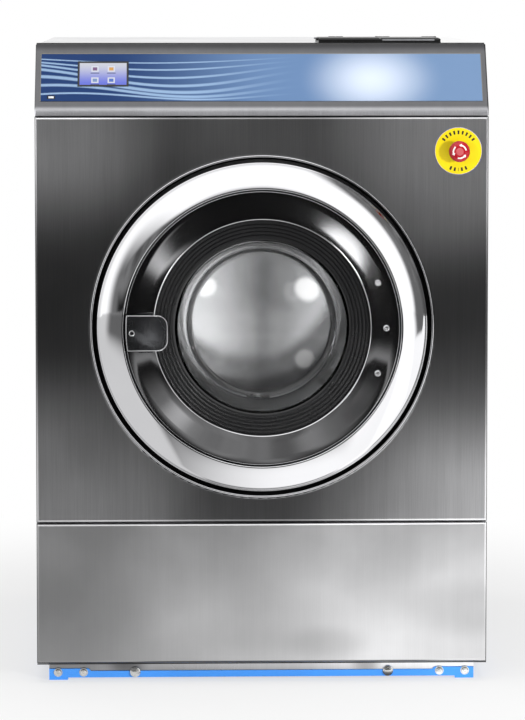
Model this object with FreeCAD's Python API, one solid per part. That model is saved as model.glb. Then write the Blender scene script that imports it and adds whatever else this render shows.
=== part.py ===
import FreeCAD, Part
import math
import os

# Industrial front-loading washing machine, in millimetres.
# +X is to the right seen from the front, +Y to the back, +Z up. The origin is on the floor, under the middle.
# Most lengths along Y are written as a depth behind the outer face of the front panel.

# Cabinet
cabinet_width = 860.0
cabinet_height = 1219.0
cabinet_depth = 900.0
sheet = 1.5
bend_radius = 5.0
panel_fold = 25.0
top_fold = 20.0
seam = 0.5
post_width = 38.0
post_depth = 40.0
post_lap = 15.0

# Base frame and feet
base_height = 38.0
base_side_setback = 22.0
base_setback = 30.0
rear_setback = 30.0
foot_thickness = 4.4
foot_length = 36.0
foot_depth = 60.0
rail_plate = 3.0
rail_flange = 40.0
rail_height = 12.4
tab_rise = 4.6
tab_length = 80.0
beam_width = 60.0
beam_height = 50.0
beam_wall = 3.0
plinth_lap = 9.0
bolt_radius = 4.0
bolt_head_radius = 6.5
bolt_head_height = 4.0
bolt_length = 14.0
bolt_height = 14.5
bolt_inset = 17.0
bolt_pitch = 49.0
middle_bolt_place = 243.0
ear_radius = 9.0
side_screw_height = 29.0

# Front panels and console
lower_panel_share = 0.2202625
panel_gap = 3.0
console_height = 134.5
console_gap = 2.0
console_setback = 77.0
console_depth = 100.0
console_lip = 12.0
overlay_side_inset = 10.0
overlay_top_inset = 21.0
overlay_bottom_inset = 30.0
overlay_thickness = 1.0
screen_width = 96.0
screen_height = 55.0
screen_thickness = 12.0
screen_from_edge = 129.0
screen_above_overlay_foot = 32.0
usb_width = 14.0
usb_height = 7.0
usb_depth = 15.0
usb_wall = 1.0
usb_from_edge = 31.0
usb_above_overlay_foot = 5.0
control_width = 280.0
control_depth = 240.0
control_height = 95.0
control_from_edge = 160.0
control_setback = 130.0

# Emergency stop
stop_from_edge = 58.0
stop_below_panel_top = 65.0
stop_disc_radius = 45.0
stop_disc_thickness = 2.0
stop_collar_radius = 15.0
stop_collar_height = 9.0
stop_head_radius = 20.0
stop_head_height = 17.0
stop_proud = 36.0
stop_stem_radius = 7.0
stop_hole_radius = 11.0
stop_block_side = 42.0
stop_block_depth = 48.0
stop_travel = 6.0

# Detergent hopper
hopper_width = 236.0
hopper_length = 150.0
hopper_from_edge = 200.0
hopper_setback = 127.0
hopper_rim = 10.0
hopper_frame_height = 4.0
hopper_lid_height = 5.0
hopper_tray_depth = 105.0
hopper_wall = 2.5
hopper_hinge_radius = 3.5
hopper_pin_radius = 2.0
hopper_knuckle_length = 14.0
hopper_knuckle_pitch = 92.0

# Water and power connections
hose_radius = 24.0
hose_wall = 3.0
hose_clearance = 0.3
spigot_length = 40.0
inlet_radius = 13.2
inlet_bore = 9.0
inlet_length = 28.0
neck_relief = 1.0
neck_length = 2.0
inlet_pitch = 90.0
inlet_below_top = 69.0
valve_side = 44.0
valve_depth = 50.0
fill_pipe_radius = 11.0
outlet_radius = 37.5
outlet_wall = 3.0
outlet_length = 60.0
outlet_inner_length = 40.0
outlet_height = 100.0
gland_radius = 16.0
gland_bore = 9.0
gland_length = 24.0
gland_from_edge = 100.0
gland_below_top = 119.0

# Tub and drum
hole_share = 0.3849558
tub_radius = 345.0
tub_wall = 2.0
tub_front_depth = 58.0
tub_front_plate = 3.0
tub_length = 524.0
tub_back_plate = 7.0
mouth_radius = 187.0
mouth_wall = 3.0
mouth_front = 14.0
drum_radius = 312.0
drum_wall = 1.5
drum_front_depth = 95.0
drum_length = 450.0
drum_back_plate = 6.0
drum_mouth_radius = 195.0
drum_lip_radius = 4.0
lifter_height = 60.0
lifter_width = 90.0
lifter_end_gap = 12.0
lifter_count = 3
hole_radius = 5.0
hole_rows = 4
holes_per_row = 7
spider_arm_width = 60.0
spider_depth = 18.0
shaft_radius = 30.0
running_fit = 0.05
bearing_radius = 55.0
bearing_width = 28.0
housing_radius = 75.0
housing_length = 128.0
housing_rib = 10.0
seal_width = 12.0

# Belt drive
pulley_radius = 200.0
pulley_width = 36.0
pulley_rim = 12.0
pulley_hub_radius = 50.0
pulley_spokes = 5
pulley_spoke_width = 34.0
pulley_behind_housing = 25.0
motor_pulley_radius = 40.0
motor_shaft_radius = 12.0
motor_radius = 88.0
motor_length = 240.0
motor_place = 150.0
motor_gap = 2.0
motor_foot_width = 110.0
belt_width = 30.0
belt_thickness = 5.0
belt_clearance = 0.3

# Cradle and suspension
cradle_beam_width = 50.0
cradle_beam_height = 40.0
cradle_below_tub = 108.0
cradle_front = 120.0
cradle_length = 600.0
saddle_plate = 8.0
saddle_front = 160.0
saddle_pitch = 280.0
saddle_rise = 250.0
motor_plate = 8.0
motor_plate_front = 500.0
motor_plate_length = 200.0
spring_radius = 24.0
spring_wire = 5.0
spring_turns = 5
spring_front = 180.0
spring_pitch = 460.0
damper_radius = 19.0
damper_bore = 14.0
damper_share = 0.6834
damper_rod_radius = 8.0
damper_rod_share = 0.6264
damper_front = 300.0
damper_pitch = 220.0

# Drain
drain_place = 300.0
drain_valve_radius = 42.0
drain_actuator = 60.0
drain_hose_radius = 30.0

# Door
panel_hole_radius = 325.0
hole_flange = 12.0
bellows_wall = 2.0
bellows_fold = 9.0
ring_outer_radius = 313.0
ring_inner_radius = 263.0
ring_proud = 32.0
ring_wall = 2.0
ring_back = 2.0
ring_lip_depth = 16.0
ring_bulge = 9.0
dish_wall = 2.0
dish_outer_radius = 260.0
dish_outer_proud = 29.0
dish_inner_proud = 20.0
dish_inner_radius = 205.0
dish_edge_radius = 5.0
dish_neck_depth = 8.0
gasket_inner_radius = 166.0
gasket_front_proud = 10.0
gasket_step = 4.0
gasket_slant = 2.0
glass_wall = 8.0
glass_rim_radius = 176.0
glass_rim_depth = 2.0
glass_bowl_radius = 148.0
glass_bowl_depth = 80.0
glass_dome = 14.0
seal_gap = 0.3

# Door hinge
hinge_place = 290.0
hinge_proud = 6.0
hinge_pin_radius = 4.0
knuckle_radius = 7.5
knuckle_half_length = 43.0
hinge_ear_thickness = 12.0
hinge_ear_gap = 0.5
hinge_foot_place = 215.0
hinge_foot_width = 44.0
hinge_foot_plate = 8.0
hinge_foot_margin = 4.5
hinge_elbow_place = 255.0
hinge_elbow_depth = 4.0
hinge_pad_radius = 235.0
hinge_pad_width = 26.0
hinge_pad_thickness = 5.0
hinge_pad_half_angle = 27.0
pad_clearance = 0.8
hinge_screw_angle = 21.5
hinge_screw_head_radius = 6.0
hinge_screw_head_height = 3.5
hinge_screw_shank_radius = 3.0

# Door handle and lock
handle_right = 179.0
handle_top = 26.0
handle_bottom = -42.0
handle_plate = 3.0
handle_proud = 34.0
handle_side_depth = 16.0
handle_corner = 19.0
handle_hole_radius = 3.0
handle_hole_place = 247.0
handle_pivot_place = 250.0
handle_pivot_proud = 23.5
handle_pin_radius = 2.5
pocket_wall = 2.0
pocket_gap = 2.0
pocket_depth = 24.0
tongue_thickness = 6.0
tongue_width = 20.0
tongue_reach = 52.0
tongue_place = -234.0
tongue_height = -8.0
lock_width = 56.0
lock_below = 40.0
lock_above = 44.0
lock_front = 20.0
lock_slot_gap = 6.0
bolt_pin_radius = 4.5
bolt_pin_length = 30.0
bolt_depth = 42.0

# Places that follow from the sizes above
front_proud = max(stop_proud, handle_proud)
rear_proud = max(outlet_length, inlet_length, gland_length)
front_y = front_proud - (front_proud + cabinet_depth + rear_proud) / 2
half_width = cabinet_width / 2
half_base = half_width - base_side_setback
inner_half = half_width - sheet
lower_panel_height = lower_panel_share * cabinet_height
lower_top = base_height + lower_panel_height
front_foot = lower_top + panel_gap
console_foot = cabinet_height - console_height
front_top = console_foot - console_gap
side_top = cabinet_height - top_fold - seam
hole_reach = panel_hole_radius + bend_radius
drum_axis_height = front_foot + hole_reach + hole_share * (front_top - front_foot - 2 * hole_reach)
beam_top = foot_thickness + beam_height
beam_middle = half_base - beam_width / 2
cradle_beam_foot = drum_axis_height - tub_radius - cradle_below_tub
cradle_beam_top = cradle_beam_foot + cradle_beam_height
motor_height = cradle_beam_top - motor_radius - motor_gap
damper_length = damper_share * (cradle_beam_foot - beam_top)
damper_rod_length = damper_rod_share * (cradle_beam_foot - beam_top)
slope_rise = cabinet_height - console_foot - console_lip
slope_length = math.hypot(console_setback, slope_rise)
slope_angle = math.atan2(console_setback, slope_rise)
screen_place = screen_from_edge - half_width
usb_place = usb_from_edge - half_width
control_place = control_from_edge - half_width
stop_place = half_width - stop_from_edge
stop_height = front_top - stop_below_panel_top
hopper_place = half_width - hopper_from_edge
hopper_tray_foot = cabinet_height - hopper_tray_depth
inlet_height = cabinet_height - inlet_below_top
gland_place = gland_from_edge - half_width
gland_height = cabinet_height - gland_below_top
tub_back_depth = tub_front_depth + tub_front_plate + tub_length
housing_end = tub_back_depth + tub_back_plate + housing_length
pulley_front = housing_end + pulley_behind_housing
drum_back_depth = drum_front_depth + drum_length
handle_middle = (handle_top + handle_bottom) / 2
drain_valve_foot = outlet_height + 2 * outlet_radius + hose_wall + spigot_length


def spot(x, depth, z):
    """Point at x, at a depth behind the front panel's face, at height z."""
    return FreeCAD.Vector(x, front_y + depth, z)


def block(x0, x1, d0, d1, z0, z1):
    """Box between two x places, two depths and two heights."""
    return Part.makeBox(x1 - x0, d1 - d0, z1 - z0, spot(x0, d0, z0))


def rod_x(radius, x0, x1, depth, z):
    """Round bar along X."""
    return Part.makeCylinder(radius, x1 - x0, spot(x0, depth, z), FreeCAD.Vector(1, 0, 0))


def rod_y(radius, d0, d1, x=0.0, z=drum_axis_height):
    """Round bar along Y, on the drum's axis unless another place is given."""
    return Part.makeCylinder(radius, d1 - d0, spot(x, d0, z), FreeCAD.Vector(0, 1, 0))


def rod_z(radius, z0, z1, x, depth):
    """Round bar along Z."""
    return Part.makeCylinder(radius, z1 - z0, spot(x, depth, z0), FreeCAD.Vector(0, 0, 1))


def tube_y(outer, inner, d0, d1, x=0.0, z=drum_axis_height):
    """Round tube along Y."""
    return rod_y(outer, d0, d1, x, z).cut(rod_y(inner, d0 - 1, d1 + 1, x, z))


def tube_z(outer, inner, z0, z1, x, depth):
    """Round tube along Z."""
    return rod_z(outer, z0, z1, x, depth).cut(rod_z(inner, z0 - 1, z1 + 1, x, depth))


def face_of(points, place):
    """Face inside an outline: a point is (u, v), or (u, v, mid_u, mid_v) where an arc leads to it."""
    corners = [place(*point[:2]) for point in points]
    edges = []
    for index, point in enumerate(points):
        start = corners[index - 1]
        end = corners[index]
        if len(point) == 4:
            edges.append(Part.Arc(start, place(*point[2:]), end).toShape())
        else:
            edges.append(Part.LineSegment(start, end).toShape())
    return Part.Face(Part.Wire(edges))


def pressed_x(points, x0, x1):
    """Solid with an outline of (depth, height) points, between two x places."""
    face = face_of(points, lambda depth, z: spot(x0, depth, z))
    return face.extrude(FreeCAD.Vector(x1 - x0, 0, 0))


def pressed_y(points, d0, d1):
    """Solid with an outline of (x, height) points, between two depths."""
    face = face_of(points, lambda x, z: spot(x, d0, z))
    return face.extrude(FreeCAD.Vector(0, d1 - d0, 0))


def pressed_z(points, z0, z1):
    """Solid with an outline of (x, depth) points, between two heights."""
    face = face_of(points, lambda x, depth: spot(x, depth, z0))
    return face.extrude(FreeCAD.Vector(0, 0, z1 - z0))


def turned(points, angle=360.0):
    """Solid turned about the drum's axis from an outline of (radius, depth) points."""
    face = face_of(points, lambda radius, depth: spot(radius, depth, drum_axis_height))
    return face.revolve(spot(0, 0, drum_axis_height), FreeCAD.Vector(0, 1, 0), angle)


def joined(shapes):
    """One solid from shapes that meet."""
    return shapes[0].fuse(shapes[1:]).removeSplitter()


def without(shape, tools):
    """The shape with the tools cut away."""
    return shape.cut(tools)


def about_axis(shape, degrees):
    """The shape turned about the drum's axis."""
    copy = shape.copy()
    copy.rotate(spot(0, 0, drum_axis_height), FreeCAD.Vector(0, 1, 0), degrees)
    return copy


def both_sides(shape):
    """The shape and its mirror image across the middle."""
    return [shape, shape.mirror(FreeCAD.Vector(0, 0, 0), FreeCAD.Vector(1, 0, 0))]


def group(shapes):
    """Several separate solids in one node."""
    return Part.makeCompound(shapes)


def rounded(shape, radius, chosen):
    """The shape with a radius on each edge whose middle passes the test."""
    edges = [edge for edge in shape.Edges if chosen(edge.CenterOfMass)]
    return shape.makeFillet(radius, edges)


def near(value, target):
    """True where two lengths agree."""
    return abs(value - target) < 0.001


def front_tray(z0, z1):
    """Sheet panel of the cabinet's width with its four edges folded back."""
    outer = block(-half_width, half_width, 0, panel_fold, z0, z1)
    inner = block(-inner_half, inner_half, sheet, panel_fold + sheet, z0 + sheet, z1 - sheet)
    outer = rounded(outer, bend_radius, lambda middle: near(middle.y, front_y))
    inner = rounded(inner, bend_radius - sheet, lambda middle: near(middle.y, front_y + sheet))
    return without(outer, [inner])


# Base frame and feet


def rail_bolt_places():
    """X places of the bolts along the front rail."""
    outer = half_base - bolt_inset
    places = (outer, outer - bolt_pitch, middle_bolt_place)
    return [side * place for side in (-1, 1) for place in places]


def rail_bolt_holes(depth):
    """Bars that cut the bolt holes through a plate that ends at a depth."""
    radius = bolt_radius + running_fit
    return [rod_y(radius, base_setback - 1, depth + 1, x, bolt_height) for x in rail_bolt_places()]


def base_front_rail():
    """Painted front rail with raised end tabs, ears at the middle bolts and a floor flange."""
    foot = foot_thickness
    top = foot + rail_height
    tab_top = top + tab_rise
    tab_start = half_base - tab_length
    back = base_setback + rail_plate
    outline = [(-half_base, foot), (half_base, foot), (half_base, tab_top), (tab_start + tab_rise, tab_top)]
    outline += [(tab_start, top), (-tab_start, top), (-tab_start - tab_rise, tab_top), (-half_base, tab_top)]
    plate = pressed_y(outline, base_setback, back)
    ears = [rod_y(ear_radius, base_setback, back, side * middle_bolt_place, bolt_height) for side in (-1, 1)]
    flange_half = half_base - beam_width
    flange = block(-flange_half, flange_half, base_setback, base_setback + rail_flange, foot,
                   foot + rail_plate)
    return without(joined([plate, flange] + ears), rail_bolt_holes(back))


def base_rails():
    """Painted box beams at the left, at the right and along the rear."""
    front = base_setback + rail_plate + sheet
    back = cabinet_depth - rear_setback
    inner = half_base - beam_width
    side = block(inner, half_base, front, back, foot_thickness, beam_top)
    side_bore = block(inner + beam_wall, half_base - beam_wall, front - 1, back + 1,
                      foot_thickness + beam_wall, beam_top - beam_wall)
    side = without(side, [side_bore] + side_screw_bars(bolt_radius + running_fit))
    rear = block(-inner, inner, back - beam_width, back, foot_thickness, beam_top)
    rear_bore = block(-inner - 1, inner + 1, back - beam_width + beam_wall, back - beam_wall,
                      foot_thickness + beam_wall, beam_top - beam_wall)
    return group(both_sides(side) + [without(rear, [rear_bore])])


def side_screw_bars(radius):
    """Shank of the screw in the right side of the base."""
    depth = base_setback + foot_depth / 2
    return [rod_x(radius, half_base - 2 * beam_wall, half_base, depth, side_screw_height)]


def foot_plates():
    """Four painted plates under the corners of the base."""
    rear = cabinet_depth - rear_setback - foot_depth
    plates = []
    for depth in (base_setback, rear):
        plate = block(half_base - foot_length, half_base, depth, depth + foot_depth, 0, foot_thickness)
        plates += both_sides(plate)
    return group(plates)


def base_bolts():
    """Pan-head bolts along the front rail and one in each side of the base."""
    bolts = []
    for x in rail_bolt_places():
        head = rod_y(bolt_head_radius, base_setback - bolt_head_height, base_setback, x, bolt_height)
        edge = front_y + base_setback - bolt_head_height
        head = rounded(head, bolt_head_height / 2, lambda middle: near(middle.y, edge))
        bolts.append(joined([head, rod_y(bolt_radius, base_setback, base_setback + bolt_length, x,
                                         bolt_height)]))
    depth = base_setback + foot_depth / 2
    head = rod_x(bolt_head_radius, half_base, half_base + bolt_head_height, depth, side_screw_height)
    side = joined([head] + side_screw_bars(bolt_radius))
    return group(bolts + both_sides(side))


def plinth_strip():
    """Stainless strip between the front rail and the lower panel."""
    front = base_setback + rail_plate
    foot = foot_thickness + rail_plate + seam
    strip = block(-half_base, half_base, front, front + sheet, foot, base_height + plinth_lap)
    return without(strip, rail_bolt_holes(front + sheet))


# Cabinet


def corner_posts():
    """Four angle posts that stand on the base beams and carry the panels."""
    inner = inner_half - post_width
    thin = inner_half - beam_wall
    posts = []
    front = panel_fold + seam
    rear = cabinet_depth - sheet
    for start, way, top in ((front, 1, console_foot + post_lap), (rear, -1, side_top)):
        end = start + way * post_depth
        step = end - way * beam_wall
        outline = [(inner_half, start), (inner_half, end), (inner, end), (inner, step), (thin, step),
                   (thin, start)]
        posts += both_sides(pressed_z(outline, beam_top, top))
    return group(posts)


def side_panel(x0, x1):
    """Flat side panel, stepped back under the console's cheek."""
    front = panel_fold + seam
    step = console_depth + seam
    cheek = console_foot - seam
    outline = [(front, base_height), (cabinet_depth, base_height), (cabinet_depth, side_top)]
    outline += [(step, side_top), (step, cheek), (front, cheek)]
    return pressed_x(outline, x0, x1)


def side_panel_left():
    """Left side panel."""
    return side_panel(-half_width, -inner_half)


def side_panel_right():
    """Right side panel."""
    return side_panel(inner_half, half_width)


def inlet_places():
    """X places of the two water inlets."""
    return [hopper_place - inlet_pitch / 2, hopper_place + inlet_pitch / 2]


def rear_panel():
    """Rear panel with holes for the water inlets, the drain and the cable gland."""
    half = inner_half - seam
    front = cabinet_depth - sheet
    plate = block(-half, half, front, cabinet_depth, base_height, side_top)
    holes = [rod_y(inlet_radius + hose_clearance, front - 1, cabinet_depth + 1, x, inlet_height)
             for x in inlet_places()]
    holes.append(rod_y(outlet_radius + hose_clearance, front - 1, cabinet_depth + 1, 0, outlet_height))
    holes.append(rod_y(gland_neck() + hose_clearance, front - 1, cabinet_depth + 1, gland_place,
                       gland_height))
    return without(plate, holes)


def hopper_sides():
    """Left, right, front and rear edges of the hopper's frame."""
    left = hopper_place - hopper_width / 2
    return left, left + hopper_width, hopper_setback, hopper_setback + hopper_length


def top_panel():
    """Top panel, folded down at its sides and back, with the hopper's opening."""
    front = console_depth + seam
    foot = cabinet_height - top_fold
    outer = block(-half_width, half_width, front, cabinet_depth, foot, cabinet_height)
    inner = block(-inner_half, inner_half, front - 1, cabinet_depth - sheet, foot - 1, cabinet_height - sheet)
    back_middle = front_y + (front + cabinet_depth) / 2 - sheet
    outer = rounded(outer, bend_radius,
                    lambda middle: near(middle.z, cabinet_height) and middle.y > back_middle)
    inner_top = cabinet_height - sheet
    inner = rounded(inner, bend_radius - sheet,
                    lambda middle: near(middle.z, inner_top) and middle.y > back_middle - sheet)
    x0, x1, d0, d1 = hopper_sides()
    gap = hopper_rim - seam
    hole = block(x0 + gap, x1 - gap, d0 + gap, d1 - gap, foot, cabinet_height + 1)
    return without(outer, [inner, hole])


def front_panel():
    """Front panel with a rolled round hole for the door and a hole for the emergency stop."""
    tray = front_tray(front_foot, front_top)
    rim = panel_hole_radius + bend_radius
    hole = rod_y(rim, -1, sheet + 1)
    stop_hole = rod_y(stop_hole_radius, -1, sheet + 1, stop_place, stop_height)
    return joined([without(tray, [hole, stop_hole]), hole_lip()])


def hole_lip():
    """Rolled lip round the door's hole."""
    inside = panel_hole_radius
    rim = inside + bend_radius
    turn = bend_radius * (1 - math.sqrt(0.5))
    inner_turn = bend_radius - (bend_radius - sheet) * math.sqrt(0.5)
    outline = [(inside, hole_flange), (inside + sheet, hole_flange), (inside + sheet, bend_radius)]
    outline += [(rim, sheet, inside + inner_turn, inner_turn), (rim, 0)]
    outline += [(inside, bend_radius, inside + turn, turn)]
    return turned(outline)


def lower_panel():
    """Service panel under the front panel."""
    return front_tray(base_height, lower_top)


# Console


def on_slope(along, out):
    """Depth and height of a point up the console's slope, and outwards from its face."""
    depth = along * math.sin(slope_angle) - out * math.cos(slope_angle)
    height = console_foot + console_lip + along * math.cos(slope_angle) + out * math.sin(slope_angle)
    return depth, height


def slope_block(x0, x1, s0, s1, n0, n1):
    """Box lying on the console's slope."""
    outline = [on_slope(s0, n0), on_slope(s1, n0), on_slope(s1, n1), on_slope(s0, n1)]
    return pressed_x(outline, x0, x1)


def overlay_span():
    """Lower and upper end of the overlay along the slope."""
    return overlay_bottom_inset - console_lip, slope_length - overlay_top_inset


def screen_box(gap, n0, n1):
    """Box of the touchscreen, wider by a gap all round."""
    foot = overlay_span()[0] + screen_above_overlay_foot
    half = screen_width / 2 + gap
    return slope_block(screen_place - half, screen_place + half, foot - gap, foot + screen_height + gap,
                       n0, n1)


def usb_box(gap, n0, n1):
    """Box of the data socket, wider by a gap all round."""
    foot = overlay_span()[0] + usb_above_overlay_foot
    half = usb_width / 2 + gap
    return slope_block(usb_place - half, usb_place + half, foot - gap, foot + usb_height + gap, n0, n1)


def console_outline(inset, spill):
    """Side outline of the console, drawn in by an inset and spilling past its open back and foot."""
    radius = console_lip / math.tan(slope_angle / 2)
    reach = radius - inset
    end_depth = radius - reach * math.cos(slope_angle)
    end_height = console_foot + reach * math.sin(slope_angle)
    middle_depth = radius - reach * math.cos(slope_angle / 2)
    middle_height = console_foot + reach * math.sin(slope_angle / 2)
    top = cabinet_height - inset
    top_depth = end_depth + (top - end_height) * math.tan(slope_angle)
    outline = [(inset, console_foot - spill)]
    if spill:
        outline.append((inset, console_foot))
    outline.append((end_depth, end_height, middle_depth, middle_height))
    outline += [(top_depth, top), (console_depth + spill, top), (console_depth + spill, console_foot - spill)]
    return outline


def console_housing():
    """Inclined sheet console with closed cheeks."""
    outer = pressed_x(console_outline(0, 0), -half_width, half_width)
    inner = pressed_x(console_outline(sheet, 1), -inner_half, inner_half)
    back = front_y + console_depth
    foot = console_foot

    def visible_edge(middle):
        on_side = near(abs(middle.x), half_width)
        on_top = near(middle.z, cabinet_height)
        return middle.y < back - sheet and middle.z > foot + sheet and (on_side or on_top)

    outer = rounded(outer, 2 * sheet, visible_edge)
    cuts = [inner, screen_box(seam, -panel_fold, panel_fold), usb_box(seam, -panel_fold, panel_fold)]
    return without(outer, cuts)


def console_overlay():
    """Thin control film on the console's slope."""
    low, high = overlay_span()
    half = half_width - overlay_side_inset
    film = slope_block(-half, half, low, high, 0, overlay_thickness)
    return without(film, [screen_box(seam, -1, panel_fold), usb_box(seam, -1, panel_fold)])


def touchscreen():
    """Touchscreen module, its glass level with the overlay."""
    return screen_box(0, overlay_thickness - screen_thickness, overlay_thickness)


def usb_socket():
    """Data socket: an open shell with a tongue."""
    back = overlay_thickness - usb_depth
    shell = without(usb_box(0, back, overlay_thickness), [usb_box(-usb_wall, back + usb_wall, panel_fold)])
    third = (usb_height - 2 * usb_wall) / 3
    low = overlay_span()[0] + usb_above_overlay_foot + usb_wall
    half = usb_width / 2 - 2 * usb_wall
    tongue = slope_block(usb_place - half, usb_place + half, low + 2 * third, low + 3 * third - usb_wall / 2,
                         back, -usb_wall)
    return joined([shell, tongue])


def control_unit():
    """Enclosure of the control electronics, hung under the top panel."""
    half = control_width / 2
    top = cabinet_height - sheet
    box = block(control_place - half, control_place + half, control_setback, control_setback + control_depth,
                top - control_height, top)
    return rounded(box, bend_radius, lambda middle: near(middle.z, top - control_height))


# Emergency stop


def stop_turned(points):
    """Solid turned about the emergency stop's axis from (radius, depth) points."""
    face = face_of(points, lambda radius, depth: spot(stop_place + radius, depth, stop_height))
    return face.revolve(spot(stop_place, 0, stop_height), FreeCAD.Vector(0, 1, 0), 360)


def stop_disc():
    """Yellow disc behind the button."""
    return tube_y(stop_disc_radius, stop_hole_radius, -stop_disc_thickness, 0, stop_place, stop_height)


def stop_switch():
    """Collar on the disc and contact block behind the panel, in one body."""
    front = -stop_disc_thickness
    collar = rod_y(stop_collar_radius, front - stop_collar_height, front, stop_place, stop_height)
    neck = rod_y(stop_hole_radius - running_fit, front, sheet, stop_place, stop_height)
    half = stop_block_side / 2
    back = sheet + stop_block_depth
    contact = block(stop_place - half, stop_place + half, sheet, back, stop_height - half, stop_height + half)
    bore = rod_y(stop_stem_radius + running_fit, -stop_proud, back - stop_travel, stop_place, stop_height)
    return without(joined([collar, neck, contact]), [bore])


def stop_bore_end():
    """Depth of the stem's front end inside the head."""
    return stop_head_height / 3 - stop_proud


def stop_stem():
    """Stem that the head turns on and that slides in the switch."""
    back = sheet + stop_block_depth - 3 * stop_travel
    return rod_y(stop_stem_radius, stop_bore_end(), back, stop_place, stop_height)


def stop_head():
    """Red mushroom head."""
    front = -stop_proud
    back = front + stop_head_height
    waist = stop_head_radius - stop_head_height / 4
    edge = front + stop_head_height / 2
    outline = [(0, front), (stop_head_radius, edge, stop_head_radius * 0.7, front + stop_head_height / 8)]
    outline += [(stop_head_radius, edge + stop_head_height / 8), (waist, back), (0, back)]
    bore = rod_y(stop_stem_radius + running_fit, stop_bore_end(), back + 1, stop_place, stop_height)
    return without(stop_turned(outline), [bore])


# Detergent hopper and water


def hopper_hinge():
    """Depth and height of the hopper lid's hinge."""
    depth = hopper_sides()[3] - hopper_hinge_radius - seam
    return depth, cabinet_height + hopper_frame_height + hopper_hinge_radius + seal_gap


def hopper_knuckles(shift, foot):
    """Three hinge knuckles, moved sideways by a shift, each with a web from a foot height."""
    depth, height = hopper_hinge()
    pieces = []
    for step in (-1, 0, 1):
        x = hopper_place + step * hopper_knuckle_pitch + shift
        pieces.append(rod_x(hopper_hinge_radius, x, x + hopper_knuckle_length, depth, height))
        pieces.append(foot(x, x + hopper_knuckle_length))
    return pieces


def hopper_pin_bar(radius):
    """Bar along the lid's hinge."""
    depth, height = hopper_hinge()
    reach = hopper_knuckle_pitch + 2 * hopper_knuckle_length + seam
    return rod_x(radius, hopper_place - reach, hopper_place + reach, depth, height)


def hopper_box():
    """Frame on the top panel, two-compartment tray under it and an outlet spigot."""
    x0, x1, d0, d1 = hopper_sides()
    top = cabinet_height + hopper_frame_height
    rim = hopper_rim
    wall = rim + hopper_wall
    frame = block(x0, x1, d0, d1, cabinet_height, top)
    tray = block(x0 + rim, x1 - rim, d0 + rim, d1 - rim, hopper_tray_foot, cabinet_height)
    middle = (d0 + d1) / 2
    spigot = rod_z(hose_radius, hopper_tray_foot - spigot_length, hopper_tray_foot, hopper_place, middle)
    half = hopper_wall / 2
    floor = hopper_tray_foot + hopper_wall
    left = block(x0 + wall, hopper_place - half, d0 + wall, d1 - wall, floor, top + 1)
    right = block(hopper_place + half, x1 - wall, d0 + wall, d1 - wall, floor, top + 1)
    bore = rod_z(hose_radius - hose_wall, hopper_tray_foot - spigot_length - 1, floor + 1, hopper_place,
                 middle)
    depth, height = hopper_hinge()
    webs = hopper_knuckles(0, lambda a, b: block(a, b, depth - seam, depth + hopper_hinge_radius, top - 1,
                                                 height))
    body = without(joined([frame, tray, spigot]), [left, right, bore])
    return without(joined([body] + webs), [hopper_pin_bar(hopper_pin_radius + running_fit)])


def hopper_hinge_pin():
    """Pin of the hopper lid."""
    return hopper_pin_bar(hopper_pin_radius)


def hopper_lid():
    """Lid over both compartments, with its own knuckles beside the frame's."""
    x0, x1, d0, d1 = hopper_sides()
    depth, height = hopper_hinge()
    foot = cabinet_height + hopper_frame_height + seal_gap
    top = foot + hopper_lid_height
    back = depth - hopper_hinge_radius - seam
    plate = block(x0, x1, d0, back, foot, top)
    plate = rounded(plate, hopper_lid_height / 2,
                    lambda middle: near(middle.z, top) and middle.y < front_y + back - seam)
    shift = hopper_knuckle_length + seam
    knuckles = hopper_knuckles(shift, lambda a, b: block(a, b, back - seam, depth, foot, top))
    return without(joined([plate] + knuckles), [hopper_pin_bar(hopper_pin_radius + running_fit)])


def hose_middle():
    """Depth of the fill hose."""
    return hopper_setback + hopper_length / 2


def tub_spigot_top():
    """Height of the top of the tub's fill spigot."""
    reach = hopper_place - hose_radius
    return drum_axis_height + math.sqrt(tub_radius ** 2 - reach ** 2) + spigot_length


def fill_hose():
    """Rubber hose from the hopper's spigot to the tub's."""
    inner = hose_radius + hose_clearance
    lap = spigot_length - hose_wall
    return tube_z(inner + hose_wall, inner, tub_spigot_top() - lap, hopper_tray_foot - spigot_length + lap,
                  hopper_place, hose_middle())


def inlet_valves():
    """Two inlet valves on the rear panel, a manifold across them and the pipe to the hopper."""
    back = cabinet_depth - sheet
    front = back - valve_depth
    half = valve_side / 2
    valves = []
    for x in inlet_places():
        body = block(x - half, x + half, front, back, inlet_height - half, inlet_height + half)
        neck_end = cabinet_depth + neck_length
        neck = rod_y(inlet_radius - neck_relief, back, neck_end, x, inlet_height)
        thread = rod_y(inlet_radius, neck_end, cabinet_depth + inlet_length, x, inlet_height)
        coil = rod_z(half * 0.8, inlet_height + half, inlet_height + 2 * half, x, (front + back) / 2)
        bore = rod_y(inlet_bore, back, cabinet_depth + inlet_length + 1, x, inlet_height)
        valves.append(without(joined([body, neck, thread, coil]), [bore]))
    left, right = inlet_places()
    depth = front - 2 * fill_pipe_radius
    manifold = block(left - half, right + half, depth, front, inlet_height - half, inlet_height + half)
    pipe = rod_y(fill_pipe_radius, hopper_sides()[3] - hopper_rim, depth, hopper_place, inlet_height)
    return group(valves + [joined([manifold, pipe])])


def drain_outlet():
    """Drain pipe through the rear panel."""
    back = cabinet_depth - sheet
    neck_end = cabinet_depth + neck_length
    inside = rod_y(outlet_radius, back - outlet_inner_length, back, 0, outlet_height)
    neck = rod_y(outlet_radius - neck_relief, back, neck_end, 0, outlet_height)
    pipe = rod_y(outlet_radius, neck_end, cabinet_depth + outlet_length, 0, outlet_height)
    flange = rod_y(outlet_radius + 4 * outlet_wall, back - outlet_wall, back, 0, outlet_height)
    bore = rod_y(outlet_radius - outlet_wall, 0, 2 * cabinet_depth, 0, outlet_height)
    return without(joined([inside, neck, pipe, flange]), [bore])


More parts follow.
